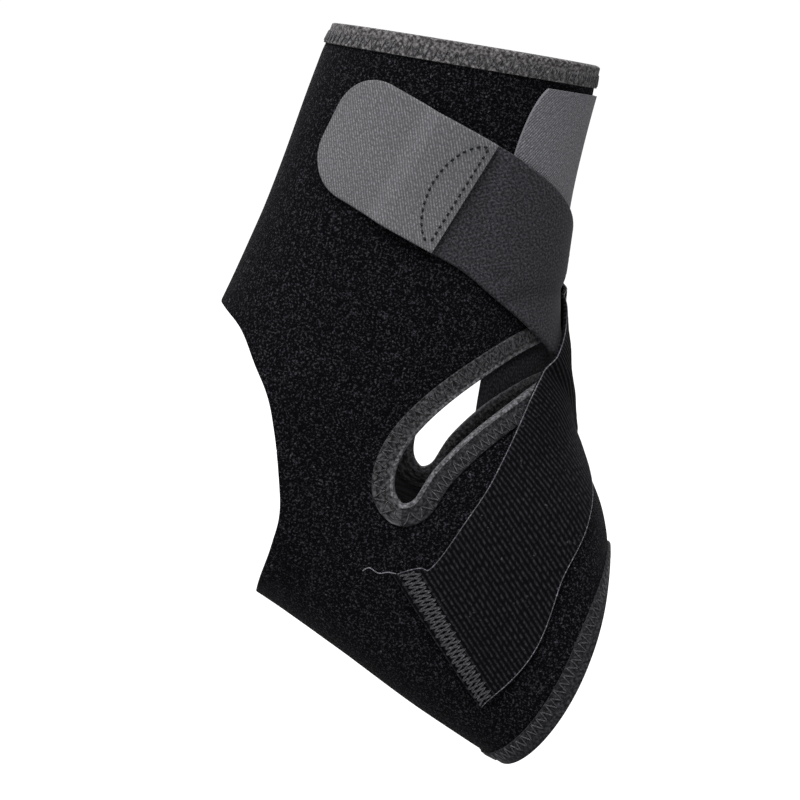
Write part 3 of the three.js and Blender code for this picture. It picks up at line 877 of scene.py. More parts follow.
# %% [markdown]
# The two grids share the line between the openings, and the ring's last column lies
# on its first. Points at the same place are made one with numpy's unique, and then
# every edge that only one quad uses is open: a strip between the two faces closes it.
# That strip is the cut edge of the foam, so it gets its own finish.


# %% Weld the grids and close the wall
def weld(points):
    """Numbers that send each point to one of the points at the same place."""
    _, first, number = np.unique(np.round(points, 3), axis=0, return_index=True,
                                 return_inverse=True)
    return first, number.reshape(-1)


def open_edges(quads, count):
    """Directed edges of the quads whose opposite isn't there."""
    ends = np.concatenate([np.stack([quads[:, k], quads[:, (k + 1) % 4]], -1) for k in range(4)])
    keys, back = ends[:, 0] * count + ends[:, 1], ends[:, 1] * count + ends[:, 0]
    return ends[~np.isin(keys, back)]


def two_faces(quads, lay, count):
    """Quads and UV of a closed wall: the outer face, the inner face, whose points are
    numbered on by count, and a strip along every open edge."""
    edges = open_edges(quads, count)
    strips = np.stack([edges[:, 1], edges[:, 0], edges[:, 0] + count, edges[:, 1] + count], -1)
    return (np.concatenate([quads, quads[:, ::-1] + count, strips]),
            np.concatenate([lay, lay[:, ::-1], np.zeros((len(strips), 4, 2))]))


outer_points = np.concatenate([wrap_outer.reshape(-1, 3), ring_outer.reshape(-1, 3)])
inner_points = np.concatenate([wrap_inner.reshape(-1, 3), ring_inner.reshape(-1, 3)])
lays = np.concatenate([lay_of(wrap_u, wrap_outer).reshape(-1, 2),
                       lay_of(ring_u, ring_outer).reshape(-1, 2)])
wrap_quads = grid_faces(*wrap_u.shape)
ring_quads = grid_faces(*ring_u.shape) + wrap_u.size
loose_quads = np.concatenate([wrap_quads, ring_quads])
first, number = weld(outer_points)
all_quads, all_lays = two_faces(number[loose_quads], lays[loose_quads], len(first))
on_face = len(loose_quads)
kinds = np.repeat([0, 1, 2], [on_face, on_face, len(all_quads) - 2 * on_face])
sleeve = add_piece("sleeve_cloth", np.concatenate([outer_points[first], inner_points[first]]),
                   all_quads, [pile, lining, foam], all_lays, kinds)
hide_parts("sleeve")

# %% [markdown]
# ## The straps
# Each strap is a flat elastic band sewn to the side of the foot part. It runs over
# the instep, round the leg and ends under its hook tab. A strap could be bent along a
# curve with a modifier, but it has to lie on the flap, the closure tab, the tape
# round the instep and the other strap. So its line is a table on the form, and each
# point takes its height from what lies under it, easing off past every edge the way
# a tight band bridges it.

# %% Lines of the straps
OUTER_LINE = np.array([
    # u      v     width
    [108, 9.44, 1.28],
    [91, 9.48, 1.08],
    [70, 9.21, 0.90],
    [48, 8.96, 0.87],
    [24, 8.48, 0.90],
    [0, 7.50, 0.95],
    [-20, 6.10, 0.96],
    [-40, 4.80, 0.96],
    [-60, 3.75, 0.96],
    [-82, 3.00, 0.95],
    [-104, 2.55, 0.95],
    [-126, 2.25, 0.95],
    [-160, 2.00, 0.95],
])
INNER_LINE = np.array([
    [-106, 9.30, 1.32],
    [-90, 9.40, 1.17],
    [-70, 9.10, 1.03],
    [-52, 8.35, 0.98],
    [-36, 7.05, 0.97],
    [-20, 5.50, 0.97],
    [0, 4.12, 0.99],
    [20, 3.43, 1.00],
    [40, 2.89, 1.00],
    [56, 2.52, 0.98],
    [72, 2.24, 0.99],
    [92, 1.93, 0.99],
    [114, 1.62, 0.99],
    [146, 1.27, 0.99],
])
TAB_OVERLAP = 0.42 * STRAP_WIDTH
TAB_LONG = 1.25 * STRAP_WIDTH
NOSE_ROUND = 0.36 * STRAP_WIDTH
CLOSURE = {"from": -54.0, "to": 43.5, "bulge": 11.0, "top": 0.45, "foot": 3.35}


def run_of(stops, per=40):
    """A strap's middle line as arrays: length so far, u, v, half width, place, way and
    turn. Turn adds up how far the line has bent within the surface: the change of way
    along outward x way."""
    x = np.arange((len(stops) - 1) * per + 1) / per
    u, v, width = np.moveaxis(along(stops.astype(float), x), -1, 0)
    at = form(u, v)
    way = unit(np.gradient(at, axis=0))
    turn = np.cumsum(dot(np.gradient(way, axis=0), np.cross(outward(u, v), way)))
    return {"s": lengths(at), "u": u, "v": v, "at": at,
            "half": width * STRAP_WIDTH / 2, "way": way, "turn": turn}


def on_run(run, s):
    """The run's u, v, half width and sideways direction at lengths s. Sideways is
    outward x way."""
    u, v, half = (np.interp(s, run["s"], run[key]) for key in ("u", "v", "half"))
    way = between_rows(s, run["s"], run["way"])
    return u, v, half, unit(np.cross(outward(u, v), way))


def length_at(run, u):
    """Length along a run where it first passes u degrees."""
    passed = (u - run["u"]) * (u - run["u"][0]) <= 0
    return run["s"][np.argmax(passed)]


outer_run, inner_run = run_of(OUTER_LINE), run_of(INNER_LINE)
outer_end, inner_end = length_at(outer_run, -100.0), length_at(inner_run, 90.0)
print("straps worn:", round(outer_end), "and", round(inner_end), "mm")


# %% What a strap lies on
FALL_OVER = 11.0                    # degrees over which the flap's step falls away
EASE_CLOSURE = 8.0                  # degrees past the closure tab's ends
EASE_CLOSURE_FOOT = 0.5             # stations below the closure tab
EASE_FLAP_FOOT = 1.6                # stations below the flap
EASE_TAPE = 13.0                    # mm past the folded tape
EASE_STRAP = 6.0                    # mm past the strap beneath
TAPE_TO = -68.0                     # a strap meets the tape on the inner flap up to here
FLAP_SEEN_TO = 20.0                 # degrees past which no strap meets the flap
PAST_FLAP = 5.0                     # degrees that the flap's height is kept past its end
CLOSURE_LEAD = 1.3                  # share of the ease that starts before the closure tab
BELOW_CLOSURE = 0.12                # stations that its height is kept below it


def flap_top(u, past):
    """Height of the inner flap's outer face, falling off past its end."""
    return np.where(u > INNER_FLAP_END,
                    FLAP_LIFT * (1 - ease((u - INNER_FLAP_END - past) / FALL_OVER)),
                    lift(360 + u))


def closure_end(v):
    """Degrees where the closure tab ends at station v: straight in the middle and
    rounded by to + bulge sqrt(1 - q^2)."""
    middle = (CLOSURE["top"] + CLOSURE["foot"]) / 2
    q = 0.96 * (v - middle) / (middle - CLOSURE["top"])
    return CLOSURE["to"] + CLOSURE["bulge"] * np.sqrt(np.maximum(0, 1 - q * q))


def highest(points, spots, top, half, off):
    """The greatest of the spots' tops, each in full up to 1 mm past its half width and
    then easing off over `off` mm."""
    found = [(top * (1 - ease((far - half - 1) / off))).max(1)
             for far in distances(points.reshape(-1, 3), spots)]
    return np.concatenate(found).reshape(points.shape[:-1])


def line_of_slot(turn, flap_to):
    """The taped line round the instep opening as u, v and a mark that is 1 on the inner
    flap. It runs from the flap's end along the upper edge, round the outer end, back
    along the lower edge, round the inner end and forward on the flap to flap_to."""
    start = np.linspace(INNER_FLAP_END + TAPE_START, 0, 30)[:-1]
    upper = np.concatenate([start, turn])
    lower = np.concatenate([turn[-2::-1], -turn[1:]])
    back = -turn[-2::-1]
    back = back[back < flap_to]
    v = np.concatenate([seam(upper, 0), seam(lower, 1), seam(back, 0)])
    mark = np.repeat([0.0, 0.0, 1.0], [len(upper), len(lower), len(back)])
    return np.concatenate([upper, lower, back]), v, mark


fold_u, fold_v, fold_on_flap = line_of_slot(by_slot, TAPE_TO)
fold_base = fold_on_flap * lift(360 + fold_u)
fold_at = form(fold_u, fold_v)
print("tape line under the straps:", len(fold_u), "points")


def ground(u, v, under=None):
    """Height that a strap clears at (u, v): the flap, the closure tab, the folded tape
    and, if given, the strap beneath, whichever is highest."""
    p = form(u, v)
    side = (u + 180) % 360 - 180
    flap = np.where(side > FLAP_SEEN_TO, 0.0, flap_top(side, PAST_FLAP))
    on_closure = ease((side - CLOSURE["from"]) / EASE_CLOSURE + CLOSURE_LEAD) \
        * (1 - ease((side - closure_end(v) - 1) / EASE_CLOSURE)) \
        * (1 - ease((v - CLOSURE["foot"] - BELOW_CLOSURE) / EASE_CLOSURE_FOOT))
    top = np.maximum.reduce([
        flap * (1 - ease((v - seam(side, 0)) / EASE_FLAP_FOOT)),
        on_closure * (flap + GAP + TAB_WALL),
        highest(p, fold_at, fold_base + GAP + SLACK + TAPE_WALL, TAPE_WIDTH, EASE_TAPE),
    ])
    clear = top + GAP + np.where(top > 0.2, SLACK, 0.0)
    if under is not None:
        crossing = highest(p, under["at"], 1.0, under["half"], EASE_STRAP)
        clear = clear + crossing * (STRAP_WALL + GAP + 3 * SLACK)
    return clear


# %% [markdown]
# A band's cross-section is a closed outline: flat underneath, flat on top, round at
# the two edges. It is carried along the strap's line. On the ribbed strap the top also
# rises and falls with the ribs, so that they show in the outline and catch real light.


# %% Band along a line
THREADS_TURN_FROM = 45.0            # mm along the strap
THREADS_TURN_OVER = 80.0
NOSE_CROWDING = 1.6                 # how the rows crowd together at a round nose


def outline(across, wall, half_width):
    """Cross-section as (share of half width, height) going round once. The edges are
    half circles of radius wall / 2, and the top has `across` points."""
    r = wall / 2
    flat = 1 - r / half_width
    turn = np.radians([60, 30, 0, -30, -60])
    top = np.linspace(-flat, flat, across)
    right = np.stack([flat + np.cos(turn) * r / half_width, r + np.sin(turn) * r], -1)
    left = np.stack([-right[::-1, 0], right[::-1, 1]], -1)
    over = np.stack([top, np.full(across, wall)], -1)
    under = np.stack([top[::-2], np.zeros(len(top[::-2]))], -1)
    return np.concatenate([over, right, under, left])


def straight(run, long, far):
    """Place along the cloth's own threads. Near the sewn end the cross threads stay
    parallel to the end, though the line bends: the place is the sum of cos(turn) ds
    less far sin(turn), with the turn easing off from THREADS_TURN_FROM on."""
    left = run["turn"] * (1 - ease((run["s"] - THREADS_TURN_FROM) / THREADS_TURN_OVER))
    plain = np.append(0, np.cumsum(np.cos(left[1:]) * np.diff(run["s"])))
    return np.interp(long, run["s"], plain) - far * np.interp(long, run["s"], np.sin(left))


def band(name, run, start, stop, steps, wall, across, rise, finishes, nose=0.0, ribs=None):
    """Carries the cross-section along the run. Every point walks sideways over the
    form by its share of the half width and is raised by what lies beneath plus its own
    height. A nose narrows the end by sqrt(r^2 - (r - rest)^2) - r."""
    share = np.linspace(0, 1, steps + 1)
    s = start + (stop - start) * (1 - (1 - share)**NOSE_CROWDING if nose else share)
    u, v, half, side = on_run(run, s)
    rest = np.clip(stop - s, 0, nose)
    half = half + (np.sqrt(nose**2 - (nose - rest)**2) - nose if nose else 0)
    shape = outline(across, wall, STRAP_WIDTH / 2)
    far = half[:, None] * shape[None, :, 0]
    uu, vv = walk(u[:, None], v[:, None], side[:, None], far)
    long = np.broadcast_to(s[:, None], far.shape)
    high = rise(uu, vv, long) + shape[None, :, 1]
    thread = straight(run, long, far)
    if ribs:
        high = high + ribs(thread, far, half[:, None]) * (shape[None, :, 1] > 0.9 * wall)
    points = raised(uu, vv, high).reshape(-1, 3)
    quads = grid_faces(steps + 1, len(shape), round_columns=True)
    lay = np.stack([thread, far], -1).reshape(-1, 2)[quads]
    caps = [np.arange(len(shape))[::-1], steps * len(shape) + np.arange(len(shape))]
    return add_piece(name, points, quads, finishes, lay, caps=caps, sharp=60)


RIB_PITCH = 1.6
RIB_HIGH = 0.16
RIB_BEND = 0.25                     # mm that a rib wanders along the strap
RIB_FADE_FROM = 0.9                 # share of the half width
RIB_FADE_OVER = 0.08


def strap_ribs(long, far, half):
    """Ribs across the strap: RIB_HIGH (1 + cos(2 pi s / pitch)) / 2, with a slight
    wave across the width, fading out near each edge."""
    phase = long + RIB_BEND * np.sin(far / 7)
    fade = 1 - ease((np.abs(far) / half - RIB_FADE_FROM) / RIB_FADE_OVER)
    return RIB_HIGH * (1 + np.cos(2 * np.pi * phase / RIB_PITCH)) / 2 * fade


def outer_rise(u, v, s):
    """Height of the outer strap's underside, the same at every length s."""
    return ground(u, v, inner_run)


def inner_rise(u, v, s):
    """Height of the inner strap's underside, the same at every length s."""
    return ground(u, v)


outer_strap = band("strap_outer_elastic", outer_run, 0, outer_end, 900, STRAP_WALL, 23,
                   outer_rise, [ribbed], ribs=strap_ribs)
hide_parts("strap_outer")
inner_strap = band("strap_inner_elastic", inner_run, 0, inner_end, 240, STRAP_WALL, 25,
                   inner_rise, [smooth_elastic])
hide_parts("strap_inner")


# %% [markdown]
# ## The hook tabs
# A hook tab is a piece of hook tape sewn onto the strap's end, with a round nose that
# presses onto the pile. It lies a strap's thickness higher where the strap is beneath
# it, then steps down onto the sleeve.


# %% Tabs of the straps
STEP_DOWN = 7.0                     # mm over which a tab comes down off its strap


def tab_rise(end, under):
    """Height under a tab: on the strap up to its end, then down over STEP_DOWN."""
    return lambda u, v, s: ground(u, v, under) \
        + (STRAP_WALL + GAP + SLACK) * (1 - ease((s - end - 1) / STEP_DOWN))


def hook_tab(name, run, end, under):
    """A tab that starts TAB_OVERLAP before its strap's end and has a round nose."""
    cut = end - TAB_OVERLAP
    return band(name, run, cut, cut + TAB_LONG, 110, TAB_WALL, 41, tab_rise(end, under),
                [hook_tape], NOSE_ROUND)


tab_inner = hook_tab("tab_of_strap_inner_tape", inner_run, inner_end, None)
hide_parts("tab_of_strap_inner")
tab_outer = hook_tab("tab_of_strap_outer_tape", outer_run, outer_end, inner_run)
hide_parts("tab_of_strap_outer")

# %% [markdown]
# The closure tab is the wide tab at the front of the leg. It is sewn on the inner flap
# and reaches round onto the outer one. Its grid runs from its cut edge to its rounded
# end, and it gets the same two faces and closed edge strip as the sleeve.

# %% Closure tab
CLOSURE_COLUMNS = 120
CLOSURE_ROWS = 70
middle = (CLOSURE["top"] + CLOSURE["foot"]) / 2
tab_v = middle - (middle - CLOSURE["top"]) * np.cos(
    np.pi * np.arange(CLOSURE_ROWS + 1) / CLOSURE_ROWS)
tab_v = np.repeat(tab_v[None], CLOSURE_COLUMNS + 1, 0)
across_share = np.linspace(0, 1, CLOSURE_COLUMNS + 1)[:, None]
tab_u = CLOSURE["from"] + (closure_end(tab_v) - CLOSURE["from"]) * across_share
tab_high = flap_top(tab_u, TUCK) + GAP
tab_out, tab_in = raised(tab_u, tab_v, tab_high + TAB_WALL), raised(tab_u, tab_v, tab_high)
tab_quads = grid_faces(*tab_u.shape)
tab_lay = np.stack([tab_u * DEGREE_MM, tab_v * STATION_MM], -1).reshape(-1, 2)
all_quads, all_lays = two_faces(tab_quads, tab_lay[tab_quads], tab_u.size)
closure = add_piece("closure_tape_piece",
                    np.concatenate([tab_out.reshape(-1, 3), tab_in.reshape(-1, 3)]),
                    all_quads, [closure_tape], all_lays)
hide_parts("closure_tab")

# %% [markdown]
# ## The folded tape
# A strip of woven tape is folded over each bound edge and sewn through with a zigzag.
# Its cross-section is a U that hugs the squeezed foam. It is carried along the edge,
# and between the stitches the tape puckers a little, so its height has a small wave.


# %% Lines along the edges
def stand(u, flap):
    """Height of the outer face at an edge: the lift of the inner flap where flap is 1,
    with u counted on past half a turn."""
    return flap * lift(np.where(u < 90, u + 360, u))


def edge_run(u, v, flap, into, step, closed=False):
    """An edge line with points at even distances: length so far, u, v, flap, place and
    the direction into the cloth, which is outward x way turned by the sign `into`."""
    at = off_form(u, v, stand(u, flap))
    s = lengths(at)
    t = np.linspace(0, s[-1], int(s[-1] / step) + 1)
    t = t[:-1] if closed else t
    u, v, flap = (np.interp(t, s, values) for values in (u, v, flap))
    at = off_form(u, v, stand(u, flap))
    way = np.roll(at, -1, 0) - np.roll(at, 1, 0) if closed else np.gradient(at, axis=0)
    aim = unit(np.cross(outward(u, v), unit(way))) * into
    return {"s": t, "long": s[-1], "u": u, "v": v, "flap": flap, "aim": aim, "closed": closed}


TAPE_STEP = 0.8                     # mm between two cross-sections of a tape
SLOT_STEP = 0.7
top_u = np.linspace(INNER_FLAP_END + TAPE_START, 360 + INNER_FLAP_END - 1, 900)
top_run = edge_run(top_u, 0 * top_u, np.where(top_u > 180, 1.0, 0.0), 1, TAPE_STEP)
toe_u = np.linspace(0, 360, 721)
toe_run = edge_run(toe_u, LAST_ROW + 0 * toe_u, 0 * toe_u, -1, TAPE_STEP, True)

fine_slot = SLOT_END * np.sin(quarter * np.arange(201) / 200)
slot_u, slot_v, on_flap = line_of_slot(fine_slot, INNER_FLAP_END - 1)
slot_run = edge_run(slot_u, slot_v, on_flap, -1, SLOT_STEP)
print("tape lengths:", [round(float(r["long"])) for r in (top_run, toe_run, slot_run)], "mm")

# %% Cross-section of the tape
LEG = np.array([1.0, 0.97, 0.85, 0.7, 0.55, 0.4, 0.25, 0.1])  # shares of the width
SQUEEZED = SLEEVE_WALL * (1 - PINCH_SHARE)
LIE = 0.05                          # the tape lies this close to the foam
WORN = 0.3                          # the tape's own edges are worn down this much
PUCKER = 0.12
STITCH_PITCH = 3.2


def tape_outline():
    """The U as (distance into the cloth, height above the outer face, side). Side is
    1 on the outer leg, 0 on the fold and -1 on the inner leg. The fold is half an
    ellipse from the top of one leg round to the other."""
    out = LIE + TAPE_WALL
    worn = np.where(LEG == 1.0, WORN, 0.0)
    a = np.radians(np.linspace(90, -90, 11))
    fold = np.stack([-out * np.cos(a), -SQUEEZED / 2 + (SQUEEZED / 2 + out) * np.sin(a),
                     0 * a], -1)
    over = np.stack([TAPE_WIDTH * LEG, out - worn, 1 + 0 * LEG], -1)
    under = np.stack([TAPE_WIDTH * LEG, -SQUEEZED - out + worn, -1 - 0 * LEG], -1)[::-1]
    inside = [[TAPE_WIDTH, -SQUEEZED - LIE, -1], [0.0, -SQUEEZED - LIE, -1],
              [0.0, LIE, 1], [TAPE_WIDTH, LIE, 1]]
    return np.concatenate([over, fold, under, inside])


def on_tape(run, far, rows=slice(None)):
    """Place on the form `far` mm into the cloth from each point of an edge line, and
    the height of the squeezed outer face there."""
    u, v = walk(run["u"][rows, None], run["v"][rows, None], run["aim"][rows, None],
                np.maximum(far, 0))
    sink = PINCH_DROP * (1 - ease(np.maximum(far, 0) / PINCH_DEEP))
    return u, v, stand(u, run["flap"][rows, None]) - sink


ROLLED_FROM = 7                     # columns of the U that make the rolled edge, painted paler as a highlight
ROLLED_TO = 20


def fold_tape(name, run, finishes, start):
    """Carries the U along an edge. The outer leg follows the squeezed outer face, the
    inner leg the lining, and both have a small wave per stitch. A second, paler finish
    on the rolled edge is a painted highlight, and a third, darker one is painted shade
    on the outer leg between the greatest and the least u: the lower side of the instep
    opening."""
    shape = tape_outline()
    far, side = np.broadcast_arrays(shape[:, 0], shape[:, 2], np.zeros((len(run["u"]), 1)))[:2]
    u, v, base = on_tape(run, far)
    wave = np.sin(2 * np.pi * run["s"] / STITCH_PITCH + start)[:, None]
    pucker = PUCKER * wave * side * ease(far / TAPE_WIDTH)
    squeeze = 1 - ease(np.maximum(far, 0) / PINCH_DEEP)
    foam = SLEEVE_WALL * (1 - PINCH_SHARE * squeeze)
    hug = np.where(side < 0, SQUEEZED - foam, 0.0)
    high = base + shape[:, 1] + hug + pucker
    points = raised(u, v, high) + run["aim"][:, None] * np.minimum(far, 0)[..., None]
    m = len(shape)
    quads = grid_faces(len(far), m, round_rows=run["closed"], round_columns=True)
    girth = lengths(shape[:, :2])
    lay = np.stack(np.broadcast_arrays(run["s"][:, None], girth[None]), -1).reshape(-1, 2)
    caps = [] if run["closed"] else [np.arange(m)[::-1], (len(far) - 1) * m + np.arange(m)]
    column = np.arange(m)
    # painted highlight: the fold's columns take the paler second finish
    painted_highlight = (column >= ROLLED_FROM) & (column < ROLLED_TO)
    row = np.arange(len(quads) // m)
    # painted shade: the outer leg on the lower side takes the darker third finish
    lower = (row > np.argmax(run["u"])) & (row < np.argmin(run["u"]))
    painted_shade = lower[:, None] & (column < ROLLED_FROM)[None]
    kinds = np.minimum(np.where(painted_shade, 2, painted_highlight[None]), len(finishes) - 1).ravel()
    return add_piece(name, points.reshape(-1, 3), quads, finishes, lay[quads], kinds, caps, 60)


# %% The three tapes
top_piece = fold_tape("top_tape_piece", top_run, [top_tape], 0.0)
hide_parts("top_binding")
toe_piece = fold_tape("forefoot_tape_piece", toe_run, [dark_tape_and_painted_shade], 1.0)
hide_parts("forefoot_binding")
# the instep tape's second finish is a painted highlight, its third painted shade
slot_piece = fold_tape("instep_tape_piece", slot_run, [edge_tape, rolled_tape_painted_highlight, dark_tape_and_painted_shade], 2.0)
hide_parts("instep_binding")

# %% [markdown]
# ## Stitches
# Stitches hold every edge: a zigzag along each tape, a dense double zigzag across the
# sewn ends of the straps, and a running stitch in the shape of a D on each tab. They
# could be bump, but thread stands up and catches light, so it is modelled. A thread is
# a thin tube along a path on the cloth, and it dips where the needle went in.

# %% Thread
THREAD = 0.24                       # radius of the sewing thread
TURNS = 6
NEEDLE_DEEP = 2.2                   # thread radii that a stitch sinks at the needle's hole
NEEDLE_FROM = 0.72                  # share of the wave from which it sinks


def tube(at, up, radius):
    """Rings round a path: at + r (cos(a) side + sin(a) up), with side = up x way."""
    way = unit(np.gradient(at, axis=0))
    side = unit(np.cross(up, way))
    up = np.cross(way, side)
    a = np.arange(TURNS) * 2 * np.pi / TURNS
    ring = np.cos(a)[:, None] * side[:, None] + np.sin(a)[:, None] * up[:, None]
    return at[:, None] + radius * ring


def threads(name, paths, finish, radius=THREAD):
    """One piece of several tubes, each path given as (points, outward directions)."""
    points, quads, caps, count = [], [], [], 0
    for at, up in paths:
        rings = tube(at, up, radius)
        points.append(rings.reshape(-1, 3))
        quads.append(grid_faces(len(at), TURNS, round_columns=True) + count)
        caps += [count + np.arange(TURNS)[::-1], count + (len(at) - 1) * TURNS + np.arange(TURNS)]
        count += len(at) * TURNS
    return add_piece(name, np.concatenate(points), np.concatenate(quads), [finish], caps=caps)


def zigzag(t, pitch):
    """A triangle wave from -1 to 1 and back each pitch."""
    return 2 * np.abs(2 * (t / pitch % 1) - 1) - 1


def sink_at_needle(wave):
    """How far the thread dips: the whole radius and more at the wave's two ends."""
    share = (np.abs(wave) - NEEDLE_FROM) / (1 - NEEDLE_FROM)
    return NEEDLE_DEEP * THREAD * ease(share)


# %% Zigzag on the tapes
NEAR_EDGE = 2.1                     # the zigzag runs between these distances
TAPE_EDGE = 6.1                     # from the fold
ZIGZAG_PITCH = 2.9
TOP_THREAD = 0.2


def tape_zigzag(run, start):
    """A zigzag along a tape, slightly uneven as a machine leaves it."""
    t = np.arange(1.0, run["long"] - 1.5, ZIGZAG_PITCH / 14)
    wave = zigzag(t + start, ZIGZAG_PITCH)
    uneven = 0.18 * np.sin(t * 1.3 + start) + 0.12 * np.sin(t * 3.7)
    far = NEAR_EDGE + (TAPE_EDGE - NEAR_EDGE) * (wave + 1) / 2 + uneven
    u, v, flap = (np.interp(t, run["s"], run[key]) for key in ("u", "v", "flap"))
    uu, vv = walk(u, v, unit(between_rows(t, run["s"], run["aim"])), far)
    sink = PINCH_DROP * (1 - ease(far / PINCH_DEEP))
    high = stand(uu, flap) - sink + LIE + TAPE_WALL + 0.7 * THREAD - sink_at_needle(wave)
    return raised(uu, vv, high), outward(uu, vv)


threads("top_stitches", [tape_zigzag(top_run, 0.0)], charcoal_thread, TOP_THREAD)
threads("forefoot_stitches", [tape_zigzag(toe_run, 0.7)], charcoal_thread)
threads("instep_stitches", [tape_zigzag(slot_run, 1.3)], charcoal_thread)


# %% Stitches on the straps and tabs
def on_band(run, s, far, rise, up):
    """Points on a band at lengths s and distances far, `up` mm above its underside."""
    u, v, _, side = on_run(run, s)
    uu, vv = walk(u, v, side, far)
    return raised(uu, vv, rise(uu, vv, s) + up), outward(uu, vv)


SEWN_FROM = 0.7
SEWN_TO = 7.2
SEWN_PITCH = 3.3
SEWN_THREAD = 0.36                  # radius of the thick thread of a sewn end
SECOND_START = 1.5
SECOND_INSET = 0.6


def sewn_end(run, rise, start, inset):
    """A wide zigzag across a strap's sewn end, from edge to edge, that narrows as the
    strap does."""
    half = run["half"][0] - 1.0
    far = np.arange(-half, half, SEWN_PITCH / 22)
    wave = zigzag(far + start, SEWN_PITCH)
    middle, swing = (SEWN_FROM + SEWN_TO) / 2, (SEWN_TO - SEWN_FROM) / 2 - inset
    s = middle + swing * wave + 0.2 * np.sin(far * 1.9 + start)
    narrow = np.interp(s, run["s"], run["half"]) / run["half"][0]
    up = STRAP_WALL + RIB_HIGH + 0.8 * THREAD - sink_at_needle(wave)
    return on_band(run, s, far * narrow, rise, up)


def sewn_rows(run, rise):
    """The two zigzags of a sewn end, the second one narrower and out of step."""
    return [sewn_end(run, rise, 0.0, 0.0), sewn_end(run, rise, SECOND_START, SECOND_INSET)]


threads("strap_outer_sewn_end", sewn_rows(outer_run, outer_rise), charcoal_thread, SEWN_THREAD)
threads("strap_inner_sewn_end", sewn_rows(inner_run, inner_rise), charcoal_thread, SEWN_THREAD)


# %% [markdown]
# The D on a tab is a row of short stitches with gaps. One stitch is a small arch of
# thread; it is placed many times at once by adding its points, turned to the line's
# own directions, to an array of places.


# %% The D of running stitches
D_IN = 2.1                          # the straight row, in from the cut edge
D_BULGE = 8.8
STITCH_LONG = 1.25
STITCH_STEP = 2.3
RUN_THREAD = 0.38
ARCH_HIGH = 1.6                     # thread radii that a stitch's middle rises
ARCH_SUNK = 0.9                     # and that its ends lie below the tape
D_WIDE = 0.88                       # share of the tab's width


def row_of_stitches(name, lines, finish):
    """Arches along lines of points. A stitch's points are x way + y side + z up, with
    z = r cos(pi x / long) less a little, so that both ends go into the cloth."""
    x = np.linspace(-0.5, 0.5, 7) * STITCH_LONG
    a = np.arange(TURNS) * 2 * np.pi / TURNS
    y = RUN_THREAD * np.cos(a)[None] + 0 * x[:, None]
    z = RUN_THREAD * (np.sin(a)[None] - ARCH_SUNK
                      + ARCH_HIGH * np.cos(np.pi * x / STITCH_LONG)[:, None])
    arch = np.stack([np.broadcast_to(x[:, None], y.shape), y, z], -1).reshape(-1, 3)
    places, frames = [], []
    for at, out in lines:
        s = lengths(at)
        t = np.arange(STITCH_STEP / 2, s[-1], STITCH_STEP)
        way = unit(between_rows(t, s, np.gradient(at, axis=0)))
        side = unit(np.cross(unit(between_rows(t, s, out)), way))
        places.append(between_rows(t, s, at))
        frames.append(np.stack([way, side, np.cross(way, side)], 1))
    places, frames = np.concatenate(places), np.concatenate(frames)
    points = places[:, None] + arch @ frames
    one = grid_faces(len(x), TURNS, round_columns=True)
    shift = (np.arange(len(places)) * len(arch))[:, None, None]
    ends = np.stack([np.arange(TURNS)[::-1], (len(x) - 1) * TURNS + np.arange(TURNS)])
    caps = (ends[None] + shift).reshape(-1, TURNS)
    return add_piece(name, points.reshape(-1, 3), (one[None] + shift).reshape(-1, 4), [finish],
                     caps=caps)


def d_lines(run, end, rise):
    """The straight row and the arc: s = cut + in + bulge (1 - x^2)^0.6 for x from -1
    to 1 across the tab."""
    cut, half = end - TAB_OVERLAP, D_WIDE * STRAP_WIDTH / 2
    x = np.linspace(-1, 1, 121)
    return [on_band(run, cut + D_IN + 0 * x, half * x, rise, TAB_WALL),
            on_band(run, cut + D_IN + D_BULGE * (1 - x * x)**0.6, half * x, rise, TAB_WALL)]


row_of_stitches("tab_inner_stitches",
                d_lines(inner_run, inner_end, tab_rise(inner_end, None)), black_thread)
row_of_stitches("tab_outer_stitches",
                d_lines(outer_run, outer_end, tab_rise(outer_end, inner_run)), black_thread)

# %% [markdown]
# Woven elastic ends in a selvedge: a cord along each edge, made paler than the strap
# as a painted highlight. The seam at the strap's corner also has a loose thread that
# was never trimmed.


# %% Selvedges and a loose thread
SELVEDGE_THREAD = 0.18
LOOSE_THREAD = 0.17


def selvedge(run, end, rise, sign):
    """A fine cord along one edge of a strap, on its upper corner; its paler finish is a painted
    highlight.
    """
    s = np.linspace(1.0, end - 0.6, 420)
    half = np.interp(s, run["s"], run["half"])
    return on_band(run, s, sign * (half - 0.15), rise, STRAP_WALL * 0.86)


threads("strap_outer_selvedges", [selvedge(outer_run, outer_end, outer_rise, sign)
                                  for sign in (1, -1)], selvedge_thread_painted_highlight, SELVEDGE_THREAD)


LOOSE_LONG = 11.0
LOOSE_TURN = 0.66                   # turn away from the line back along the strap
LOOSE_LIFT = 0.35                   # mm that it rises between two places where it lies


def loose_thread():
    """A thread from the outer strap's upper corner over the sleeve. It leaves along the
    line back from the strap, turned by LOOSE_TURN + 0.1 sin(0.9 t), so it bends a
    little."""
    u, v, half, side = on_run(outer_run, np.array([0.5]))
    way = np.cross(side, outward(u, v))
    start_u, start_v = walk(u, v, side, half)
    t = np.linspace(0, LOOSE_LONG, 60)
    turn = LOOSE_TURN + 0.10 * np.sin(t * 0.9)
    aim = unit(-way * np.cos(turn)[:, None] + side * np.sin(turn)[:, None])
    uu, vv = walk(start_u + 0 * t, start_v + 0 * t, aim, t)
    return raised(uu, vv, 0.3 + LOOSE_LIFT * np.abs(np.sin(t * 0.6))), outward(uu, vv)


threads("loose_thread", [loose_thread()], pale_thread, LOOSE_THREAD)

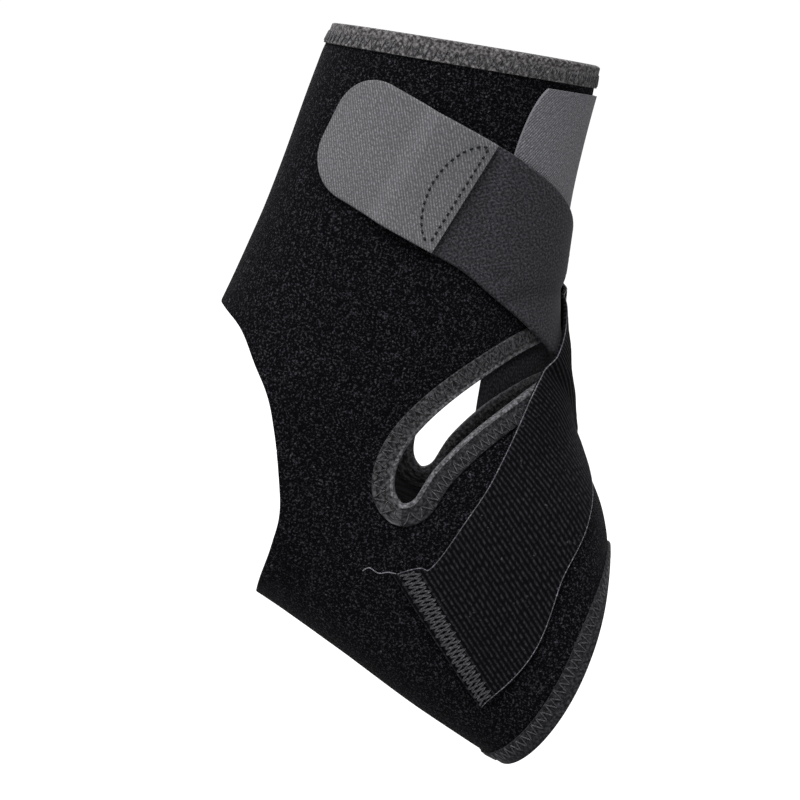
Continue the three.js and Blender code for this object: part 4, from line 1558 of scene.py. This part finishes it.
# %% [markdown]
# ## Stage and light
# The photograph has a plain white ground and soft light from above on the left. A flat
# plane would show its edge from some side, so the floor is a shallow bowl: a profile
# turned round the upright axis, flat in the middle and rising far out. A floor made
# white by light alone would throw much of it back and grey the black cloth from below,
# so this one is mostly self-lit. A large soft light hangs above, in front and to the
# left, a weak one fills from the right, and one at the back keeps the far side readable.

# %% Stage
FLOOR = -175.0
FLOOR_FLAT = 1500.0
RIM_RISE = 2200.0
FLOOR_RINGS = 40
FLOOR_TURNS = 96


def bowl(rings, turns):
    """Radius r(t) = flat + rise sin(t), height = floor + rise (1 - cos(t)), turned
    round the upright axis."""
    t = np.linspace(0, np.pi / 2, rings)
    r = np.concatenate([[1.0, FLOOR_FLAT / 2], FLOOR_FLAT + RIM_RISE * np.sin(t)])
    z = np.concatenate([[FLOOR, FLOOR], FLOOR + RIM_RISE * (1 - np.cos(t))])
    a = np.linspace(0, 2 * np.pi, turns, endpoint=False)
    points = np.stack([r[:, None] * np.cos(a), r[:, None] * np.sin(a), z[:, None] + 0 * a], -1)
    return points.reshape(-1, 3), grid_faces(len(r), turns, round_columns=True)


points, quads = bowl(FLOOR_RINGS, FLOOR_TURNS)
mesh = bpy.data.meshes.new("floor")
mesh.from_pydata((points * MM).tolist(), [], quads[:, ::-1].tolist() + [list(range(FLOOR_TURNS))])
mesh.polygons.foreach_set("use_smooth", [True] * len(mesh.polygons))
floor_finish = bpy.data.materials.new("pale_floor")
floor_finish.use_nodes = True
floor_shader = floor_finish.node_tree.nodes["Principled BSDF"]
floor_shader.inputs["Base Color"].default_value = (0.14, 0.14, 0.14, 1.0)
floor_shader.inputs["Roughness"].default_value = 0.9
floor_shader.inputs["Specular IOR Level"].default_value = 0.1
floor_shader.inputs["Emission Color"].default_value = (1.0, 1.0, 1.0, 1.0)
floor_shader.inputs["Emission Strength"].default_value = 0.88
mesh.materials.append(floor_finish)
floor = bpy.data.objects.new("floor", mesh)
bpy.context.scene.collection.objects.link(floor)


# %% Lights
def soft_light(name, at, size, power):
    """A square area light at a place in mm that looks at the brace."""
    data = bpy.data.lights.new(name, "AREA")
    data.size = size * MM
    data.energy = power
    lamp = bpy.data.objects.new(name, data)
    bpy.context.scene.collection.objects.link(lamp)
    lamp.location = Vector(at) * MM
    lamp.rotation_euler = (Vector((0, 0, 0)) - lamp.location).to_track_quat("-Z", "Y").to_euler()
    return lamp


soft_light("key", (-600, -900, 1500), 1200, 108.0)
soft_light("fill", (1200, -900, 500), 900, 5.0)
soft_light("rear", (-300, 1300, 900), 1000, 30.0)
world = bpy.data.worlds.new("studio")
world.use_nodes = True
world.node_tree.nodes["Background"].inputs["Color"].default_value = (1.0, 1.0, 1.0, 1.0)
world.node_tree.nodes["Background"].inputs["Strength"].default_value = 0.35
bpy.context.scene.world = world
bpy.context.scene.view_settings.view_transform = "Standard"
bpy.context.scene.view_settings.look = "None"

# %% [markdown]
# ## Facts about the cloth
# The sleeve's cut is the shape of the opened brace, so its flat area is worked out
# here: the worn area less about 6 percent, because foam cloth is stretched a little on
# the foot. The elastic straps are worn about 12 percent longer than they are cut.


# %% Flat area of the sleeve
def flat_area(piece, stretch):
    """Half the closed mesh's area, less the stretch, in square metres."""
    areas = np.zeros(len(piece.data.polygons))
    piece.data.polygons.foreach_get("area", areas)
    return areas.sum() / 2 / stretch


SLEEVE_STRETCH = 1.06
sleeve_area = flat_area(sleeve, SLEEVE_STRETCH)
print("sleeve cut:", round(sleeve_area, 4), "square metres")
